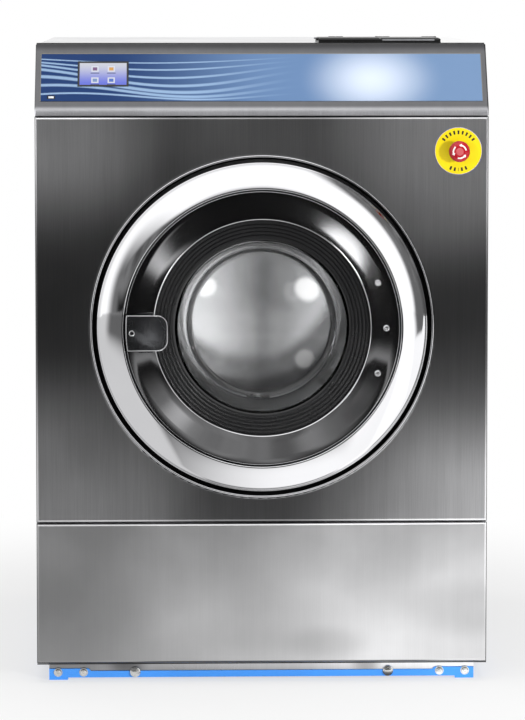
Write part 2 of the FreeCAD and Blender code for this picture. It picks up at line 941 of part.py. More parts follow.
def gland_neck():
    """Radius of the cable gland's neck through the rear panel."""
    return (gland_radius + gland_bore) / 2


def cable_gland():
    """Gland for the supply cable, with its nut inside the rear panel."""
    back = cabinet_depth - sheet
    outside = rod_y(gland_radius, cabinet_depth, cabinet_depth + gland_length, gland_place, gland_height)
    neck = rod_y(gland_neck(), back, cabinet_depth, gland_place, gland_height)
    nut = rod_y(gland_radius, back - gland_length / 3, back, gland_place, gland_height)
    bore = rod_y(gland_bore, 0, 2 * cabinet_depth, gland_place, gland_height)
    return without(joined([outside, neck, nut]), [bore])


# Tub and its drain


def drain_stub_foot():
    """Height of the lower end of the tub's drain stub."""
    return drum_axis_height - tub_radius - drain_hose_radius


def tub_shell():
    """Outer tub with its fill spigot and drain stub."""
    front = tub_front_depth + tub_front_plate
    outer = rod_y(tub_radius, front, tub_back_depth)
    spigot = rod_z(hose_radius, drum_axis_height, tub_spigot_top(), hopper_place, hose_middle())
    stub = rod_z(drain_hose_radius, drain_stub_foot(), drum_axis_height, 0, drain_place)
    hollow = rod_y(tub_radius - tub_wall, front - 1, tub_back_depth + 1)
    spigot_bore = rod_z(hose_radius - hose_wall, drum_axis_height, tub_spigot_top() + 1, hopper_place,
                        hose_middle())
    stub_bore = rod_z(drain_hose_radius - hose_wall, drain_stub_foot() - 1, drum_axis_height, 0, drain_place)
    return without(joined([outer, spigot, stub]), [hollow, spigot_bore, stub_bore])


def tub_front():
    """Front plate of the tub with the neck of its mouth."""
    neck = mouth_radius + mouth_wall
    back = tub_front_depth + tub_front_plate
    outline = [(mouth_radius, mouth_front), (neck, mouth_front), (neck, tub_front_depth)]
    outline += [(tub_radius, tub_front_depth), (tub_radius, back), (mouth_radius, back)]
    return turned(outline)


def tub_back():
    """Back plate of the tub with its ribbed bearing housing."""
    plate_back = tub_back_depth + tub_back_plate
    plate = rod_y(tub_radius, tub_back_depth, plate_back)
    housing = rod_y(housing_radius, tub_back_depth, housing_end)
    axis = drum_axis_height
    low = axis + housing_radius - housing_rib
    face = face_of([(low, plate_back - 1), (axis + tub_radius - housing_rib, plate_back - 1),
                    (low, housing_end)],
                   lambda z, depth: spot(-housing_rib / 2, depth, z))
    rib = face.extrude(FreeCAD.Vector(housing_rib, 0, 0))
    ribs = [about_axis(rib, turn) for turn in range(0, 360, 60)]
    bore = rod_y(bearing_radius + running_fit, tub_back_depth - 1, housing_end + 1)
    return without(joined([plate, housing] + ribs), [bore])


def drum_bearings():
    """Two bearings in the housing."""
    inner = shaft_radius + running_fit
    front = tub_back_depth + seal_width
    first = tube_y(bearing_radius, inner, front, front + bearing_width)
    second = tube_y(bearing_radius, inner, housing_end - bearing_width, housing_end)
    return group([first, second])


def shaft_seal():
    """Shaft seal in front of the bearings."""
    return tube_y(bearing_radius, shaft_radius + running_fit, tub_back_depth, tub_back_depth + seal_width)


def drain_valve():
    """Drain valve under the tub, with its actuator and an outlet stub."""
    top = drain_stub_foot()
    foot = drain_valve_foot
    body = rod_z(drain_valve_radius, foot, top, 0, drain_place)
    stub = rod_z(drain_hose_radius, foot - spigot_length, foot, 0, drain_place)
    half = drain_actuator / 2
    inset = (top - foot) / 6
    actuator = block(-drain_valve_radius - drain_actuator, 0, drain_place - half, drain_place + half,
                     foot + inset, top - inset)
    bore = rod_z(drain_hose_radius - hose_wall, foot - spigot_length - 1, top + 1, 0, drain_place)
    return without(joined([body, stub, actuator]), [bore])


def drain_hose():
    """Hose from the drain valve, round one bend and back into the drain pipe."""
    top = drain_valve_foot - hose_wall
    turn = 2 * outlet_radius
    end = cabinet_depth - sheet - outlet_inner_length / 2
    corner = turn * (1 - math.sqrt(0.5))
    start_point = spot(0, drain_place, top)
    bend_start = spot(0, drain_place, outlet_height + turn)
    bend_middle = spot(0, drain_place + corner, outlet_height + corner)
    bend_end = spot(0, drain_place + turn, outlet_height)
    path = Part.Wire([
        Part.LineSegment(start_point, bend_start).toShape(),
        Part.Arc(bend_start, bend_middle, bend_end).toShape(),
        Part.LineSegment(bend_end, spot(0, end, outlet_height)).toShape(),
    ])
    inner = drain_hose_radius + hose_clearance
    tubes = []
    for radius in (inner + hose_wall, inner):
        circle = Part.Circle(start_point, FreeCAD.Vector(0, 0, -1), radius).toShape()
        tubes.append(path.makePipeShell([Part.Wire([circle])], True, False))
    return without(tubes[0], [tubes[1]])


# Drum


def drum_holes():
    """Radial bars that cut the drum's holes, in rows between the lifters."""
    bars = []
    sector = 360.0 / lifter_count
    for part in range(lifter_count):
        for column in range(holes_per_row):
            angle = sector * (part + (column + 1.5) / (holes_per_row + 2))
            for row in range(hole_rows):
                depth = drum_front_depth + drum_length * (row + 1) / (hole_rows + 1)
                start = spot(0, depth, drum_axis_height + drum_radius - 2 * hole_radius)
                bar = Part.makeCylinder(hole_radius, 4 * hole_radius, start, FreeCAD.Vector(0, 0, 1))
                bars.append(about_axis(bar, angle + sector / 2))
    return bars


def drum_shell():
    """Perforated drum with its front ring and a rolled lip round the mouth."""
    front = drum_front_depth
    inner = drum_radius - drum_wall
    outline = [(drum_mouth_radius, front), (drum_radius, front), (drum_radius, drum_back_depth)]
    outline += [(inner, drum_back_depth), (inner, front + drum_wall), (drum_mouth_radius, front + drum_wall)]
    lip = Part.makeTorus(drum_mouth_radius, drum_lip_radius, spot(0, front, drum_axis_height),
                         FreeCAD.Vector(0, 1, 0))
    return without(joined([turned(outline), lip]), drum_holes())


def drum_back():
    """Drum's back plate with a three-armed spider and hub behind it."""
    plate_back = drum_back_depth + drum_back_plate
    plate = rod_y(drum_radius, drum_back_depth, plate_back)
    hub = rod_y(housing_radius, plate_back, plate_back + spider_depth)
    half = spider_arm_width / 2
    reach = drum_radius - spider_arm_width / 2
    arm = block(-half, half, plate_back - 1, plate_back + spider_depth, drum_axis_height,
                drum_axis_height + reach)
    arms = [about_axis(arm, 360.0 / lifter_count * (turn + 0.5)) for turn in range(lifter_count)]
    bore = rod_y(shaft_radius + running_fit, plate_back, plate_back + spider_depth + 1)
    return without(joined([plate, hub] + arms), [bore])


def drum_lifters():
    """Ribs inside the drum that lift the load."""
    axis = drum_axis_height
    inner = drum_radius - drum_wall - seal_gap
    half = lifter_width / 2
    top = axis + inner - lifter_height
    nose = half / 3
    outline = [(-half, axis + drum_radius), (-nose, top + nose), (nose, top + nose, 0, top),
               (half, axis + drum_radius)]
    front = drum_front_depth + drum_wall + lifter_end_gap
    rib = pressed_y(outline, front, drum_back_depth - lifter_end_gap)
    rib = rib.common(rod_y(inner, front - 1, drum_back_depth))
    return group([about_axis(rib, 360.0 / lifter_count * (turn + 0.5)) for turn in range(lifter_count)])


def drum_shaft():
    """Shaft from the drum's hub through the bearings to the pulley."""
    return rod_y(shaft_radius, drum_back_depth + drum_back_plate, pulley_front + pulley_width)


def drum_pulley():
    """Spoked pulley on the drum shaft."""
    back = pulley_front + pulley_width
    rim_inner = pulley_radius - pulley_rim
    rim = tube_y(pulley_radius, rim_inner, pulley_front, back)
    hub = rod_y(pulley_hub_radius, pulley_front, back)
    half = pulley_spoke_width / 2
    inset = pulley_width / 3
    spoke = block(-half, half, pulley_front + inset, back - inset, drum_axis_height,
                  drum_axis_height + rim_inner + pulley_rim / 2)
    spokes = [about_axis(spoke, 360.0 / pulley_spokes * turn) for turn in range(pulley_spokes)]
    return without(joined([hub, rim] + spokes),
                   [rod_y(shaft_radius + running_fit, pulley_front - 1, back + 1)])


# Motor and belt


def motor_face():
    """Depth of the motor's shaft end."""
    return pulley_front - pulley_rim


def motor():
    """Motor with its feet against the cradle's motor plate."""
    back = motor_face()
    front = back - motor_length
    body = rod_y(motor_radius, front, back, motor_place, motor_height)
    half = motor_foot_width / 2
    inset = motor_length / 6
    feet = block(motor_place - half, motor_place + half, front + inset, back - inset, motor_height,
                 cradle_beam_top)
    bore = rod_y(motor_shaft_radius + running_fit, (front + back) / 2, back + 1, motor_place, motor_height)
    return without(joined([body, feet]), [bore])


def motor_pulley():
    """Motor shaft with its pulley."""
    back = motor_face()
    shaft = rod_y(motor_shaft_radius, back - motor_length / 2, pulley_front + pulley_width, motor_place,
                  motor_height)
    pulley = rod_y(motor_pulley_radius, pulley_front, pulley_front + pulley_width, motor_place, motor_height)
    return joined([shaft, pulley])


def belt_loop(extra, d0, d1):
    """Solid inside a belt line that runs an extra distance outside both pulleys."""
    large = pulley_radius + extra
    small = motor_pulley_radius + extra
    dx = motor_place
    dz = motor_height - drum_axis_height
    heading = math.atan2(dz, dx)
    wrap = math.acos((large - small) / math.hypot(dx, dz))

    def on_large(angle):
        return large * math.cos(angle), drum_axis_height + large * math.sin(angle)

    def on_small(angle):
        return motor_place + small * math.cos(angle), motor_height + small * math.sin(angle)

    outline = [on_large(heading + wrap) + on_large(heading + math.pi), on_small(heading + wrap)]
    outline += [on_small(heading - wrap) + on_small(heading), on_large(heading - wrap)]
    return pressed_y(outline, d0, d1)


def drive_belt():
    """Flat belt round both pulleys."""
    inset = (pulley_width - belt_width) / 2
    front = pulley_front + inset
    back = front + belt_width
    inner = belt_loop(belt_clearance, front - 1, back + 1)
    return without(belt_loop(belt_clearance + belt_thickness, front, back), [inner])


# Cradle and suspension


def cradle():
    """Two beams, two saddles under the tub and the motor plate, welded together."""
    half = cradle_beam_width / 2
    beam = block(beam_middle - half, beam_middle + half, cradle_front, cradle_front + cradle_length,
                 cradle_beam_foot, cradle_beam_top)
    pieces = both_sides(beam)
    reach = beam_middle + half
    for depth in (saddle_front, saddle_front + saddle_pitch):
        saddle = block(-reach, reach, depth, depth + saddle_plate, cradle_beam_foot,
                       cradle_beam_foot + saddle_rise)
        window = block(-2 * tub_radius / 3, 2 * tub_radius / 3, depth - 1, depth + saddle_plate + 1,
                       cradle_beam_foot - 1, drum_axis_height - tub_radius - drain_hose_radius)
        pieces.append(without(saddle, [rod_y(tub_radius + seal_gap, depth - 1, depth + saddle_plate + 1),
                                       window]))
    pieces.append(block(-reach, reach, motor_plate_front, motor_plate_front + motor_plate_length,
                        cradle_beam_top, cradle_beam_top + motor_plate))
    return joined(pieces)


def arc_from(start, heading, end):
    """Arc that leaves start along a heading and ends at end."""
    chord = end - start
    along = FreeCAD.Vector(chord).normalize()
    side = (heading - along * heading.dot(along)).normalize()
    half_turn = math.acos(max(-1.0, min(1.0, heading.dot(along))))
    middle = (start + end) * 0.5 + side * (chord.Length / 2 * math.tan(half_turn / 2))
    return Part.Arc(start, middle, end).toShape()


def coil(foot, top, x, depth):
    """Coil spring of round wire between two heights."""
    climb = (top - foot - 2 * spring_wire) / spring_turns
    steps = 4 * spring_turns

    def point_at(step):
        angle = math.pi / 2 * step
        height = foot + spring_wire + climb * step / 4
        return spot(x + spring_radius * math.cos(angle), depth + spring_radius * math.sin(angle), height)

    def heading_at(step):
        angle = math.pi / 2 * step
        lift = climb / (2 * math.pi)
        return FreeCAD.Vector(-spring_radius * math.sin(angle), spring_radius * math.cos(angle),
                              lift).normalize()

    arcs = []
    for step in range(steps):
        start, end = point_at(step), point_at(step + 1)
        leave, arrive = heading_at(step), heading_at(step + 1)
        chord = end - start
        spread = 2 * (1 - leave.dot(arrive))
        pull = chord.dot(leave + arrive)
        reach = (math.sqrt(pull * pull + spread * chord.dot(chord)) - pull) / spread
        joint = (start + leave * reach + end - arrive * reach) * 0.5
        arcs.append(arc_from(start, leave, joint))
        arcs.append(arc_from(joint, (end - arrive * reach - start - leave * reach).normalize(), end))
    circle = Part.Circle(point_at(0), heading_at(0), spring_wire).toShape()
    return Part.Wire(arcs).makePipeShell([Part.Wire([circle])], True, False)


def suspension_springs():
    """Four coil springs between the base beams and the cradle."""
    springs = []
    for depth in (spring_front, spring_front + spring_pitch):
        springs += both_sides(coil(beam_top, cradle_beam_foot, beam_middle, depth))
    return group(springs)


def damper_depths():
    """Depths of the dampers."""
    return [damper_front, damper_front + damper_pitch]


def damper_cylinders():
    """Damper cylinders on the base beams."""
    cap = damper_radius - damper_bore
    top = beam_top + damper_length
    cylinders = []
    for depth in damper_depths():
        body = rod_z(damper_radius, beam_top, top, beam_middle, depth)
        hollow = rod_z(damper_bore, beam_top + cap, top - cap, beam_middle, depth)
        guide = rod_z(damper_rod_radius + running_fit, top - cap - 1, top + 1, beam_middle, depth)
        cylinders += both_sides(without(body, [hollow, guide]))
    return group(cylinders)


def damper_rods():
    """Damper rods under the cradle's beams."""
    rods = []
    for depth in damper_depths():
        rods += both_sides(rod_z(damper_rod_radius, cradle_beam_foot - damper_rod_length,
                                 cradle_beam_foot, beam_middle, depth))
    return group(rods)


# Door


def axis_block(x0, x1, d0, d1, z0, z1):
    """Box whose heights are measured from the drum's axis."""
    return block(x0, x1, d0, d1, drum_axis_height + z0, drum_axis_height + z1)


def axis_rod(radius, z0, z1, x, depth):
    """Upright round bar whose heights are measured from the drum's axis."""
    return rod_z(radius, drum_axis_height + z0, drum_axis_height + z1, x, depth)


def bulged(start, end, bulge):
    """End point of an arc with its middle, which stands a bulge to the left of the line."""
    across, along = end[0] - start[0], end[1] - start[1]
    length = math.hypot(across, along)
    middle = ((start[0] + end[0]) / 2 - along / length * bulge,
              (start[1] + end[1]) / 2 + across / length * bulge)
    return end + middle


def domed(radius, foot, top):
    """End of a shallow dome on the axis, with the middle of its arc."""
    rise = top - foot
    sphere = (radius ** 2 + rise ** 2) / (2 * rise)
    half = radius / 2
    return 0.0, top, half, top - sphere + math.sqrt(sphere ** 2 - half ** 2)


def gap_bellows():
    """Folded rubber skin that closes the gap between the front panel and the tub."""
    inner = panel_hole_radius + sheet + seal_gap
    outer = inner + bellows_wall
    front, lap = hole_flange / 2, hole_flange + bellows_wall
    fold, fold_depth = inner - bellows_fold, tub_front_depth / 2
    back = tub_front_depth - seal_gap
    outline = [(inner, front), (inner, lap), (fold, fold_depth), (inner, back)]
    outline += [(outer, back), (fold + 1.3 * bellows_wall, fold_depth), (outer, lap), (outer, front)]
    return turned(outline)


def door_ring():
    """Polished outer ring of the door: a bulged skin with a lip inside."""
    outer, crest = (ring_outer_radius, -ring_back), (ring_inner_radius, -ring_proud)
    lip = ring_inner_radius + ring_wall
    inner_crest = (lip, -ring_proud + 1.5 * ring_wall)
    inner_edge = (ring_outer_radius - 1.25 * ring_wall, -ring_back)
    outline = [outer, bulged(outer, crest, ring_bulge), (ring_inner_radius, -ring_lip_depth)]
    outline += [(lip, -ring_lip_depth), inner_crest, bulged(inner_crest, inner_edge, -ring_bulge)]
    return turned(outline)


def dish_depth(radius):
    """Depth of the dish's conical front face at a radius."""
    share = (radius - dish_inner_radius) / (dish_outer_radius - dish_inner_radius)
    return -dish_inner_proud - share * (dish_outer_proud - dish_inner_proud)


def dish_back(radius):
    """Depth of the back of the dish's conical sheet at a radius."""
    return dish_depth(radius) + dish_wall


def pocket_band(r0, r1, d0, d1, grow):
    """Left part of a ring between two radii, as high as the handle and grown by a margin."""
    band = tube_y(r1, r0, d0, d1)
    return band.common(axis_block(-r1, 0, d0, d1, handle_bottom - grow, handle_top + grow))


def screw_bars(radius, start, length):
    """Bars along the three hinge screws, from a height over the dish's face inwards."""
    rise = dish_outer_proud - dish_inner_proud
    lean = math.atan2(rise, dish_outer_radius - dish_inner_radius)
    inward = FreeCAD.Vector(math.sin(lean), math.cos(lean), 0)
    seat = spot(hinge_pad_radius, dish_depth(hinge_pad_radius), drum_axis_height)
    bar = Part.makeCylinder(radius, length, seat - inward * start, inward)
    return [about_axis(bar, turn * hinge_screw_angle) for turn in (-1, 0, 1)]


def trunnions(radius, z0, z1):
    """Two upright bars on the handle's pivot, between two distances outside its ends."""
    lower = axis_rod(radius, handle_bottom - z1, handle_bottom - z0, -handle_pivot_place, -handle_pivot_proud)
    upper = axis_rod(radius, handle_top + z0, handle_top + z1, -handle_pivot_place, -handle_pivot_proud)
    return [lower, upper]


def door_dish():
    """Polished conical dish of the door, with a neck for the gasket and a pocket for the handle."""
    inner, outer = dish_inner_radius, dish_outer_radius
    skirt, neck = outer - dish_wall, inner + dish_wall
    bend = inner + dish_edge_radius
    flange_back = -ring_lip_depth + dish_wall
    low = dish_depth(bend) + dish_edge_radius
    outline = [(ring_inner_radius + ring_wall, flange_back), (ring_inner_radius + ring_wall, -ring_lip_depth)]
    outline += [(outer, -ring_lip_depth), (outer, dish_depth(outer)), (bend, dish_depth(bend))]
    outline += [bulged((bend, dish_depth(bend)), (inner, low), dish_edge_radius * (1 - math.sqrt(0.5))),
                (inner, dish_neck_depth)]
    outline += [(neck, dish_neck_depth), (neck, low), (bend, dish_back(bend))]
    outline += [(skirt, dish_back(skirt)), (skirt, flange_back)]
    grow = pocket_gap + pocket_wall
    floor = pocket_depth - dish_outer_proud
    case = pocket_band(inner, outer, dish_back(inner) - dish_wall / 2, floor + pocket_wall, grow)
    hollow = pocket_band(neck, skirt, -2 * dish_outer_proud, floor, pocket_gap)
    notch = pocket_band(skirt - 1, outer + 1, -2 * dish_outer_proud, -handle_pivot_proud + pocket_wall,
                        pocket_gap)
    holes = trunnions(handle_pin_radius + running_fit, 0, grow + 1)
    holes += screw_bars(hinge_screw_shank_radius + running_fit, dish_wall, 4 * dish_wall)
    return without(joined([turned(outline), case]), [hollow, notch] + holes)


def door_gasket():
    """Stepped rubber gasket between the dish's neck and the glass, pressed on the tub's mouth."""
    outer = dish_inner_radius - seal_gap
    rim = glass_rim_radius + seal_gap
    front, back = -gasket_front_proud, mouth_front - seal_gap
    groove_front = glass_rim_depth - seal_gap
    groove_back = glass_rim_depth + glass_wall + seal_gap
    width = (outer - gasket_inner_radius) / 4
    outline = [(outer, front), (outer - width, front), (outer - width - gasket_slant, front + gasket_step)]
    outline += [(outer - 2 * width, front + gasket_step)]
    outline += [(outer - 2 * width - gasket_slant, front + 2 * gasket_step)]
    outline += [(outer - 3.4 * width, front + 2 * gasket_step),
                (gasket_inner_radius, groove_front - gasket_slant)]
    outline += [(gasket_inner_radius, groove_front), (rim, groove_front), (rim, groove_back)]
    outline += [(rim - gasket_step, groove_back), (rim - gasket_step, back), (outer, back)]
    return turned(outline)


def door_glass():
    """Glass bowl with a flat rim and a shallow dome."""
    rim_back = glass_rim_depth + glass_wall
    top = glass_bowl_depth + glass_dome
    slant = glass_rim_radius - glass_wall
    inner = glass_bowl_radius - glass_wall
    inner_foot = glass_bowl_depth - 0.75 * glass_wall
    apex = domed(inner, inner_foot, top - glass_wall)
    outline = [(slant - glass_wall, glass_rim_depth), (glass_rim_radius, glass_rim_depth)]
    outline += [(glass_rim_radius, rim_back), (slant, rim_back), (glass_bowl_radius, glass_bowl_depth)]
    outline += [domed(glass_bowl_radius, glass_bowl_depth, top), (0.0, apex[1]),
                (inner, inner_foot) + apex[2:]]
    return turned(outline)


# Door hinge


def hinge_link(x0, d0, x1, d1, z0, z1):
    """Flat link with round ends between two places, seen from above."""
    length = math.hypot(x1 - x0, d1 - d0)
    across = -(d1 - d0) / length * knuckle_radius
    along = (x1 - x0) / length * knuckle_radius
    corners = [(x0 + across, d0 + along), (x1 + across, d1 + along), (x1 - across, d1 - along),
               (x0 - across, d0 - along)]
    slab = pressed_z(corners, drum_axis_height + z0, drum_axis_height + z1)
    return joined([slab, axis_rod(knuckle_radius, z0, z1, x0, d0), axis_rod(knuckle_radius, z0, z1, x1, d1)])


def hinge_bar(radius, reach):
    """Upright bar on the door's hinge."""
    return axis_rod(radius, -reach, reach, hinge_place, -hinge_proud)


def hinge_reach():
    """Height of the outer faces of the hinge ears over the axis."""
    return knuckle_half_length + hinge_ear_gap + hinge_ear_thickness


def hinge_bracket():
    """Plate on the tub's front with two elbowed ears that hold the hinge pin."""
    back = tub_front_depth
    foot_middle = hinge_foot_place + hinge_foot_width / 2
    foot_depth_middle = back - hinge_foot_plate
    z1 = hinge_reach()
    z0 = z1 - hinge_ear_thickness
    plate = axis_block(hinge_foot_place, hinge_foot_place + hinge_foot_width, foot_depth_middle, back,
                       -z1 - hinge_foot_margin, z1 + hinge_foot_margin)
    pieces = [plate]
    for low, high in ((-z1, -z0), (z0, z1)):
        pieces.append(hinge_link(hinge_place, -hinge_proud, hinge_elbow_place, hinge_elbow_depth, low, high))
        pieces.append(hinge_link(hinge_elbow_place, hinge_elbow_depth, foot_middle, foot_depth_middle,
                                 low, high))
    return without(joined(pieces), [hinge_bar(hinge_pin_radius + running_fit, z1 + 1)])


def hinge_pin():
    """Pin of the door hinge."""
    return hinge_bar(hinge_pin_radius, hinge_reach())


def hinge_arm():
    """Knuckle, web and curved pad that carry the door."""
    r0 = hinge_pad_radius - hinge_pad_width / 2
    r1 = hinge_pad_radius + hinge_pad_width / 2
    front0, front1 = dish_back(r0) + seal_gap, dish_back(r1) + seal_gap
    pad_outline = [(r0, front0), (r1, front1), (r1, front1 + hinge_pad_thickness),
                   (r0, front0 + hinge_pad_thickness)]
    pad = about_axis(turned(pad_outline, 2 * hinge_pad_half_angle), -hinge_pad_half_angle)
    half = knuckle_half_length
    web_front = -ring_lip_depth + dish_wall + pad_clearance
    web_back = -hinge_proud + knuckle_radius / 2
    web = axis_block(r0, hinge_place, web_front, web_back, -half, half)
    step = axis_block(r0 + pad_clearance, r1, front0 + hinge_pad_thickness / 2, web_back, -half, half)
    knuckle = hinge_bar(knuckle_radius, half)
    holes = [hinge_bar(hinge_pin_radius + running_fit, half + 1)]
    holes += screw_bars(hinge_screw_shank_radius + running_fit, 0, screw_length() + 1)
    return without(joined([pad, web, step, knuckle]), holes)


def screw_length():
    """Length of the hinge screws under the head."""
    return dish_wall + seal_gap + hinge_pad_thickness


def hinge_screws():
    """Three domed screws that hold the dish on the hinge arm's pad."""
    heads = screw_bars(hinge_screw_head_radius, hinge_screw_head_height, hinge_screw_head_height)
    shanks = screw_bars(hinge_screw_shank_radius, hinge_screw_head_height / 2,
                        hinge_screw_head_height / 2 + screw_length())
    screws = []
    for head, shank in zip(heads, shanks):
        rim = min(head.Edges, key=lambda edge: edge.BoundBox.YMax)
        screws.append(joined([head.makeFillet(hinge_screw_head_height * 0.8, [rim]), shank]))
    return group(screws)


# Door handle and lock


def door_handle():
    """Handle plate with two deep sides, pivoted in the dish's pocket."""
    front = -handle_proud
    back = front + handle_plate
    middle_y = front_y + (front + back) / 2
    plate = axis_block(-ring_inner_radius, -handle_right, front, back, handle_bottom, handle_top)
    plate = rounded(plate, handle_corner, lambda middle: near(middle.x, -handle_right) and near(middle.y,
                                                                                                middle_y))
    plate = plate.common(rod_y(dish_outer_radius - pocket_gap / 2, front, back))
    side_back = front + handle_side_depth
    inner = dish_inner_radius + dish_wall + pocket_gap
    outer = dish_outer_radius - dish_wall - pocket_gap - seam
    band = pocket_band(inner, outer, back, side_back, 0)
    gap = axis_block(-ring_inner_radius, 0, back, side_back, handle_bottom + handle_plate,
                     handle_top - handle_plate)
    body = joined([plate, without(band, [gap])] + trunnions(handle_pin_radius, -1, pocket_gap + pocket_wall))
    hole = rod_y(handle_hole_radius, front - 1, back + 1, -handle_hole_place,
                 drum_axis_height + handle_middle)
    return without(body, [hole])


def tongue_box(margin, d0, d1):
    """Box round the lock tongue with a margin, between two depths."""
    half = tongue_width / 2 + margin
    rise = tongue_thickness / 2 + margin / 2
    return axis_block(tongue_place - half, tongue_place + half, d0, d1, tongue_height - rise,
                      tongue_height + rise)


def lock_bar(radius, z0, z1):
    """Upright bar on the lock bolt's line."""
    return axis_rod(radius, z0, z1, tongue_place, bolt_depth)


def bolt_foot():
    """Height of the withdrawn bolt's foot over the axis."""
    return tongue_height + tongue_thickness / 2 + lock_slot_gap / 2 + seam


def door_tongue():
    """Lock tongue behind the handle's pocket, with a hole for the bolt."""
    start = pocket_depth - dish_outer_proud + pocket_wall
    hole = lock_bar(bolt_pin_radius + seam, tongue_height - tongue_thickness,
                    tongue_height + tongue_thickness)
    return without(tongue_box(0, start, tongue_reach), [hole])


def door_lock():
    """Lock case on the tub's front, with a slot for the tongue and a bore for the bolt."""
    half = lock_width / 2
    case = axis_block(tongue_place - half, tongue_place + half, lock_front, tub_front_depth,
                      tongue_height - lock_below, tongue_height + lock_above)
    slot = tongue_box(lock_slot_gap, lock_front - 1, tub_front_depth - hinge_foot_plate / 4)
    bore = lock_bar(bolt_pin_radius + running_fit, tongue_height, bolt_foot() + bolt_pin_length + seam)
    return without(case, [slot, bore])


def lock_bolt():
    """Bolt that drops through the tongue."""
    return lock_bar(bolt_pin_radius, bolt_foot(), bolt_foot() + bolt_pin_length)


NODES = [
    base_front_rail, base_rails, foot_plates, base_bolts, plinth_strip, corner_posts,
    side_panel_left, side_panel_right, rear_panel, top_panel, front_panel, lower_panel,
    console_housing, console_overlay, touchscreen, usb_socket, control_unit,
    stop_disc, stop_switch, stop_stem, stop_head,
    hopper_box, hopper_hinge_pin, hopper_lid, inlet_valves, fill_hose, drain_outlet, drain_hose, cable_gland,
    damper_cylinders, damper_rods, suspension_springs, gap_bellows,
    tub_shell, tub_front, tub_back, drum_bearings, shaft_seal, cradle, drain_valve,
    motor, motor_pulley, drive_belt, drum_pulley,
    drum_shell, drum_back, drum_lifters, drum_shaft,
    door_ring, door_dish, door_gasket, door_glass, hinge_bracket, hinge_pin, hinge_arm, hinge_screws,
    door_handle, door_tongue, door_lock, lock_bolt,
]

os.makedirs("parts", exist_ok=True)
for node in NODES:
    node().exportStep("parts/" + node.__name__ + ".step")
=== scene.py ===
"""Looks of an industrial front-loading washing machine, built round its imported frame."""

import logging
import math
from contextlib import contextmanager
from dataclasses import dataclass
from enum import Enum
from typing import ClassVar, Dict, Iterator, List, Optional, Sequence, Tuple

import bpy
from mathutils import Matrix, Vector


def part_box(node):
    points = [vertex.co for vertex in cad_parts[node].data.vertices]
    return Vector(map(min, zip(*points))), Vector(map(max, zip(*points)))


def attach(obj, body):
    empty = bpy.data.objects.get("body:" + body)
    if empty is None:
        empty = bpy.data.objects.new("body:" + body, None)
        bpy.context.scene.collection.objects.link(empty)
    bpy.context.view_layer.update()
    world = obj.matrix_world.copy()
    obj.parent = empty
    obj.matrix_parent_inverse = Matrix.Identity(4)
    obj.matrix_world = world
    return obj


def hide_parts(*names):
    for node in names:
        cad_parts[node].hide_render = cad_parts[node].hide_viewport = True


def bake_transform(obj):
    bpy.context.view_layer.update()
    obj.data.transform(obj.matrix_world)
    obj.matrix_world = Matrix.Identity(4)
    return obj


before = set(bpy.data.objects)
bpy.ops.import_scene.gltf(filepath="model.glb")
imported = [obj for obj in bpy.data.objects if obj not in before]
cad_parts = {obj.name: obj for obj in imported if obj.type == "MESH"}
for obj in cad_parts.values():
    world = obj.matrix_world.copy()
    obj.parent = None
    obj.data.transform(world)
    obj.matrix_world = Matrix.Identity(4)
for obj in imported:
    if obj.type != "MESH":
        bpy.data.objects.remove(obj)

LOG = logging.getLogger("washer")

Point = Tuple[float, float]
Place = Tuple[float, float, float]
Colour = Tuple[float, float, float]
Step = Tuple[float, ...]
Socket = bpy.types.NodeSocket
Thing = bpy.types.Object

# Lengths in metres, X to the right, Y to the back, Z up
FRONT_Y = -0.462
AXIS_Z = 0.683
HALF_WIDTH = 0.430
DOOR_CENTRE = (0.0, FRONT_Y, AXIS_Z)
STOP_CENTRE = (0.372, FRONT_Y, 1.0175)

MERGE_DISTANCE = 0.00002
CUT_OVER = 0.010
BEVEL_FROM = math.radians(50)
WHITE = (1.0, 1.0, 1.0)
BLACK = (0.0, 0.0, 0.0)


class Body(Enum):
    """Rigid bodies that pieces ride on."""

    CABINET = "cabinet"
    TUB = "tub"
    DRUM = "drum"
    DOOR = "door"
    HANDLE = "handle"
    STOP_CAP = "stop_cap"
    LID = "lid"


class Slot(Enum):
    """Material slots of the record."""

    POLISHED = "stainless_polished"
    RUBBER = "black_rubber"
    GLASS = "door_glass"
    MACHINED = "machined_steel"
    FASTENER = "fastener_steel"
    PLASTIC = "black_plastic"
    RED = "stop_red"
    YELLOW = "stop_yellow"
    VALVE = "valve_plastic"


# Modelling helpers


def mm(*values: float) -> Tuple[float, ...]:
    """Turn millimetres into metres."""
    return tuple(value / 1000.0 for value in values)


def start_fresh() -> None:
    """Leave edit mode and deselect everything before a new piece."""
    if bpy.context.object and bpy.context.object.mode != "OBJECT":
        bpy.ops.object.mode_set(mode="OBJECT")
    bpy.ops.object.select_all(action="DESELECT")


def pick(*pieces: Thing) -> None:
    """Select some pieces alone and make the first one active.

    Args:
        pieces: the pieces.
    """
    start_fresh()
    for piece in pieces:
        piece.select_set(True)
    bpy.context.view_layer.objects.active = pieces[0]


def take(name: str) -> Thing:
    """Name the active object as a new piece.

    Args:
        name: name of the piece.

    Returns:
        The active object.
    """
    piece = bpy.context.object
    piece.name = name
    piece.data.name = name
    return piece


def select_all() -> None:
    """Select the whole mesh that is edited."""
    bpy.ops.mesh.select_all(action="SELECT")


@contextmanager
def editing() -> Iterator[None]:
    """Edit the active piece, with all of it selected at first.

    Returns:
        The context, which leaves edit mode at its end.
    """
    bpy.ops.object.mode_set(mode="EDIT")
    select_all()
    yield
    bpy.ops.object.mode_set(mode="OBJECT")


def extrude(step: Sequence[float]) -> None:
    """Extrude what is selected by a step."""
    bpy.ops.mesh.extrude_region_move(TRANSFORM_OT_translate={"value": step})


